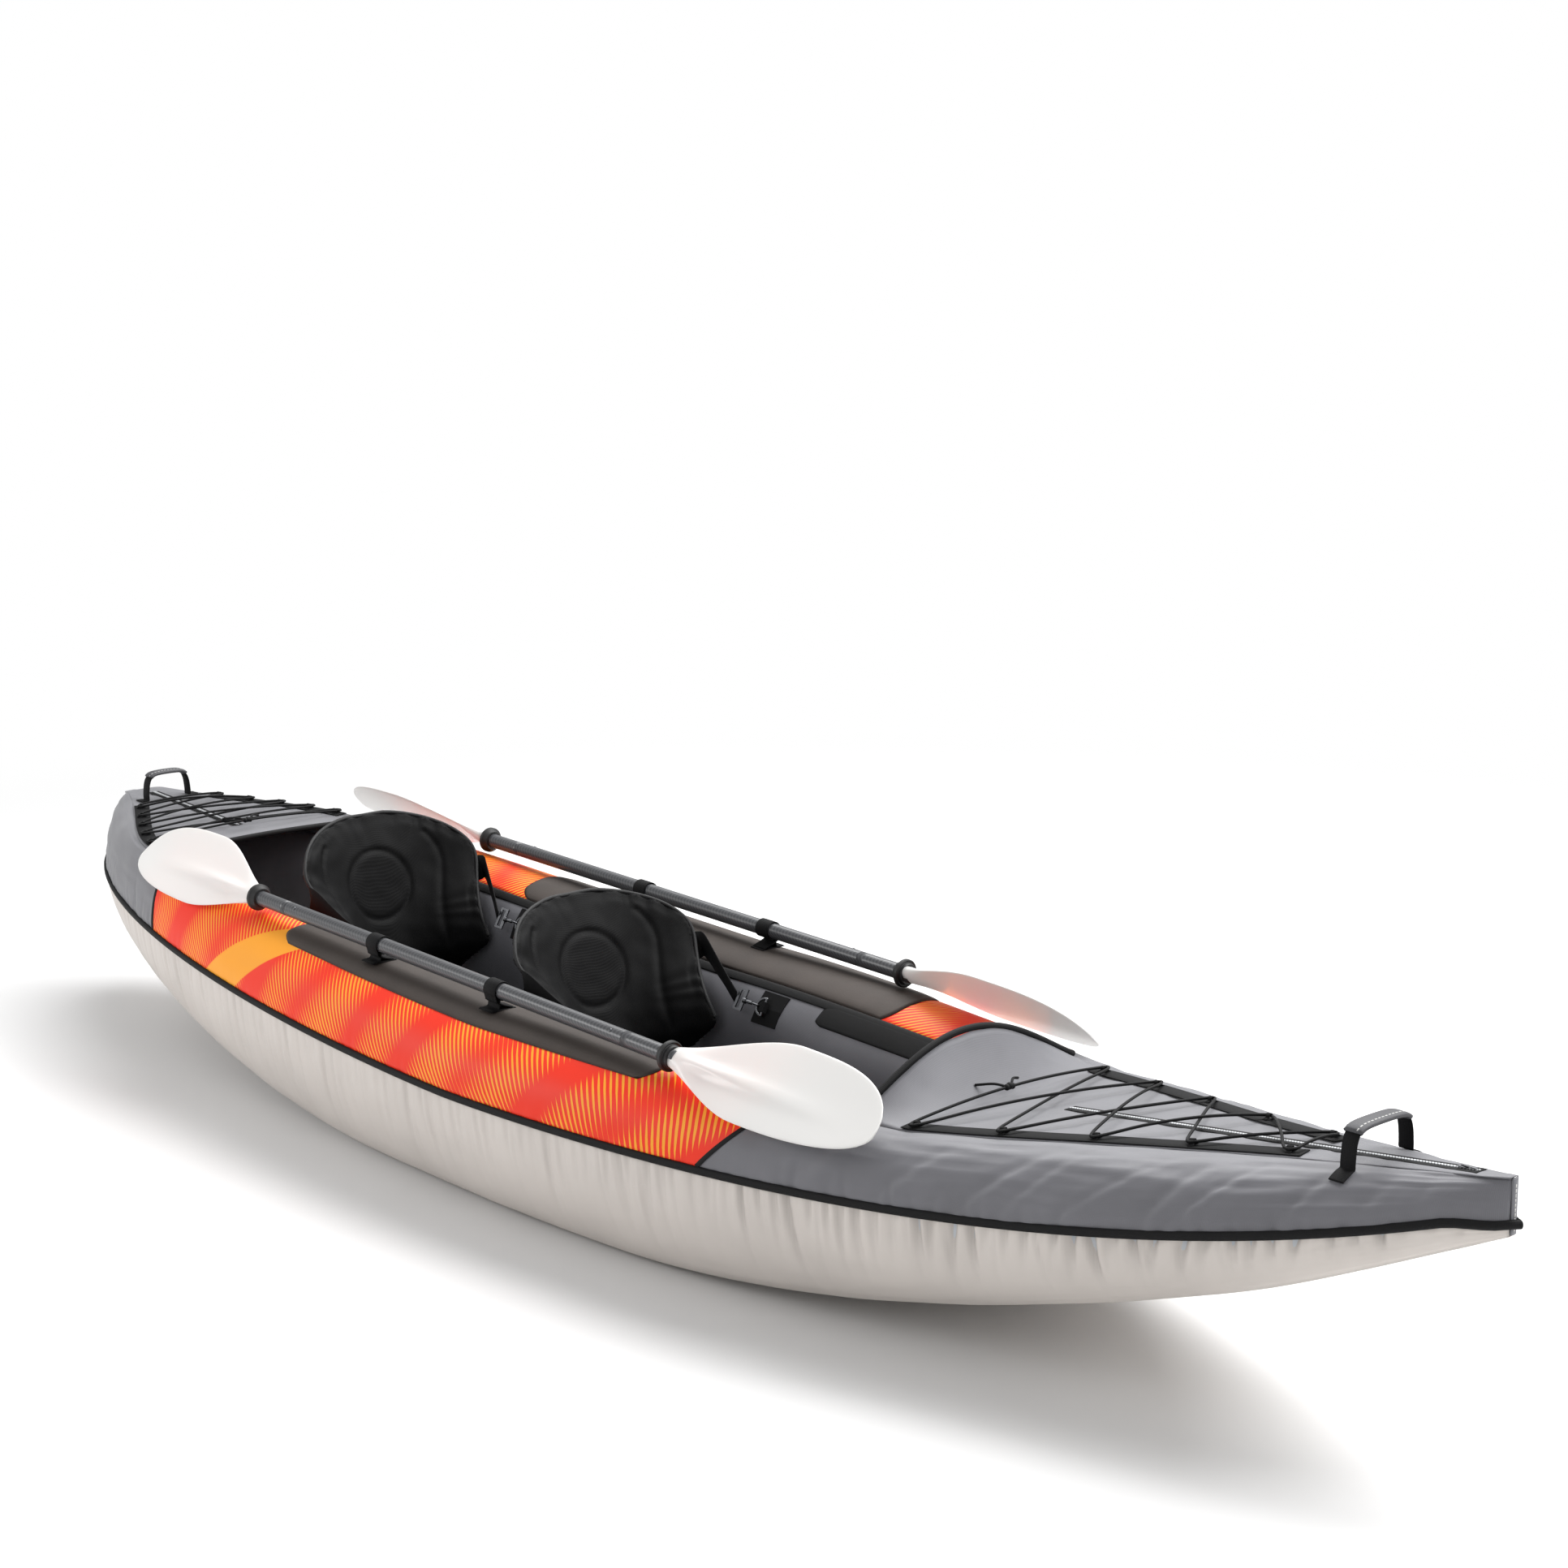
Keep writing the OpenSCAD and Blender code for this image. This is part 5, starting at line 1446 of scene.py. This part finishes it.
def make_lamps(scene):
    """Area lamps, each turned to its aim."""
    for name, place, aim, size, power in LAMPS:
        data = bpy.data.lights.new(name, "AREA")
        data.shape = "RECTANGLE"
        data.size, data.size_y = size
        data.energy = power
        lamp = bpy.data.objects.new(name, data)
        scene.collection.objects.link(lamp)
        lamp.location = place
        lamp.rotation_euler = (Vector(aim) - Vector(place)).to_track_quat("-Z", "Y").to_euler()


def make_camera(scene):
    """The camera that was fitted to the photo."""
    az, el, roll = CAMERA_TURNS
    back_axis = Vector((math.sin(az) * math.cos(el), -math.cos(az) * math.cos(el), math.sin(el)))
    right = Vector((math.cos(az), math.sin(az), 0))
    up = back_axis.cross(right)
    rolled_right = math.cos(roll) * right + math.sin(roll) * up
    rolled_up = -math.sin(roll) * right + math.cos(roll) * up
    data = bpy.data.cameras.new("photo camera")
    data.sensor_width = SENSOR_MM
    data.lens = FOCAL_PX / PHOTO_PX * SENSOR_MM
    data.shift_y = SHIFT_PX / PHOTO_PX
    camera = bpy.data.objects.new("photo camera", data)
    scene.collection.objects.link(camera)
    turn = Matrix((rolled_right, rolled_up, back_axis)).transposed().to_4x4()
    camera.matrix_world = Matrix.Translation(CAMERA_PLACE) @ turn
    scene.camera = camera


def make_stage():
    """Pale floor, soft studio light and the camera."""
    scene = bpy.context.scene
    scene.view_settings.view_transform = "Standard"
    make_backdrop()
    light_world(scene)
    make_lamps(scene)
    make_camera(scene)


# Properties


def length_property(name, description, default, low, high):
    """A length that the user can change."""
    return FloatProperty(name=name, description=description, default=default, min=low, max=high,
                         subtype="DISTANCE", unit="LENGTH")


class KAYAK_PG_sizes(bpy.types.PropertyGroup):
    """Sizes of the cloth and its trimmings"""

    cloth: length_property("Cloth", "Thickness of the covers", 0.0012, 0.0005, 0.002)
    gather: length_property("Gathers", "Depth of the gathers under the side seam", 0.0052, 0.0, 0.006)
    stripe_pitch: length_property("Stripe pitch", "Distance between two pinstripes of the print", 0.0125,
                                  0.004, 0.03)
    cord: length_property("Cord", "Diameter of the deck bungees", 0.005, 0.003, 0.0055)
    puff: length_property("Back puff", "Most that a back-rest's cover may swell", 0.004, 0.0, 0.012)


def colour_property(name, description, code):
    """A colour that the user can change."""
    return FloatVectorProperty(name=name, description=description, default=linear(code)[:3], size=3,
                               min=0.0, max=1.0, subtype="COLOR")


class KAYAK_PG_colours(bpy.types.PropertyGroup):
    """Colours of the boat and its gear"""

    lower_hull: colour_property("Lower hull", "Coated fabric of the bottom and lower sides", "#CFC8C2")
    slate: colour_property("Slate", "Woven fabric of the covers and decks", "#6C6C71")
    stripe_red: colour_property("Stripe ground", "Ground of the printed side panels", "#EE3116")
    stripe_amber: colour_property("Stripe", "Pinstripes of the printed side panels", "#F8A32A")
    black: colour_property("Black", "Webbing, cords, piping and seats", "#131314")
    foam: colour_property("Foam", "Pads on the side tubes", "#3A322D")
    blade: colour_property("Blade", "Moulded paddle blades", "#F6F5F3")
    shaft: colour_property("Shaft", "Lacquered paddle shafts", "#404144")


# Operators


class KAYAK_OT_materials(bpy.types.Operator):
    """Make the finishes from the chosen colours"""

    bl_idname = "kayak.materials"
    bl_label = "Finishes"

    def execute(self, context):
        FINISH.update(make_finishes())
        return {"FINISHED"}


class KAYAK_OT_stage(bpy.types.Operator):
    """Make the floor, the lamps and the camera"""

    bl_idname = "kayak.stage"
    bl_label = "Stage"

    def execute(self, context):
        make_stage()
        return {"FINISHED"}


class KAYAK_OT_hull(bpy.types.Operator):
    """Make the hull's fabric skins, piping and bindings"""

    bl_idname = "kayak.hull"
    bl_label = "Hull skins"

    def execute(self, context):
        make_bladders()
        make_floor()
        make_hull_skins()
        make_seam_piping()
        make_end_bindings()
        make_panel_bindings()
        make_cockpit_tapes()
        return {"FINISHED"}


class KAYAK_OT_decks(bpy.types.Operator):
    """Make the decks with their lacing and zips"""

    bl_idname = "kayak.decks"
    bl_label = "Decks"

    def execute(self, context):
        make_deck("bow_deck_cloth", "bow_deck", BOW_DECK_X, COVER_END, 180)
        make_deck("stern_deck_cloth", "stern_deck", -COVER_END, STERN_DECK_X, 130)
        make_coamings()
        make_webbing()
        make_bungees()
        make_cord_loops()
        make_zips()
        make_sliders()
        return {"FINISHED"}


class KAYAK_OT_fittings(bpy.types.Operator):
    """Make the handles, pads and paddle straps"""

    bl_idname = "kayak.fittings"
    bl_label = "Handles and pads"

    def execute(self, context):
        make_handles()
        make_pads()
        make_paddle_straps()
        return {"FINISHED"}


class KAYAK_OT_paddles(bpy.types.Operator):
    """Make the paddle blades and their stubs"""

    bl_idname = "kayak.paddles"
    bl_label = "Paddles"

    def execute(self, context):
        make_blades()
        return {"FINISHED"}


class KAYAK_OT_seats(bpy.types.Operator):
    """Make both seats"""

    bl_idname = "kayak.seats"
    bl_label = "Seats"

    def execute(self, context):
        make_seat("front")
        make_seat("rear")
        return {"FINISHED"}


class KAYAK_OT_solids(bpy.types.Operator):
    """Give the solid pieces that stay in view their finishes"""

    bl_idname = "kayak.solids"
    bl_label = "Solid pieces"

    def execute(self, context):
        finish_nodes()
        return {"FINISHED"}


class KAYAK_PT_panel(bpy.types.Panel):
    """The kayak's sizes, colours and operators"""

    bl_label = "Kayak"
    bl_space_type = "VIEW_3D"
    bl_region_type = "UI"
    bl_category = "Kayak"

    def draw(self, context):
        for group in (context.scene.kayak_sizes, context.scene.kayak_colours):
            for key in group.__annotations__:
                self.layout.prop(group, key)
        for cls in OPERATORS:
            self.layout.operator(cls.bl_idname)


GROUPS = (KAYAK_PG_sizes, KAYAK_PG_colours)
OPERATORS = (KAYAK_OT_materials, KAYAK_OT_stage, KAYAK_OT_hull, KAYAK_OT_decks, KAYAK_OT_fittings,
             KAYAK_OT_paddles, KAYAK_OT_seats, KAYAK_OT_solids)
CLASSES = GROUPS + OPERATORS + (KAYAK_PT_panel,)


def register():
    """Register the add-on's classes."""
    for cls in CLASSES:
        bpy.utils.register_class(cls)
    bpy.types.Scene.kayak_sizes = PointerProperty(type=KAYAK_PG_sizes)
    bpy.types.Scene.kayak_colours = PointerProperty(type=KAYAK_PG_colours)


def unregister():
    """Take the add-on's classes out again."""
    del bpy.types.Scene.kayak_colours
    del bpy.types.Scene.kayak_sizes
    for cls in reversed(CLASSES):
        bpy.utils.unregister_class(cls)


def main():
    """Dress the kayak."""
    register()
    bpy.ops.kayak.materials()
    bpy.ops.kayak.stage()
    bpy.ops.kayak.hull()
    bpy.ops.kayak.decks()
    bpy.ops.kayak.fittings()
    bpy.ops.kayak.paddles()
    bpy.ops.kayak.seats()
    bpy.ops.kayak.solids()


if __name__ == "__main__":
    main()
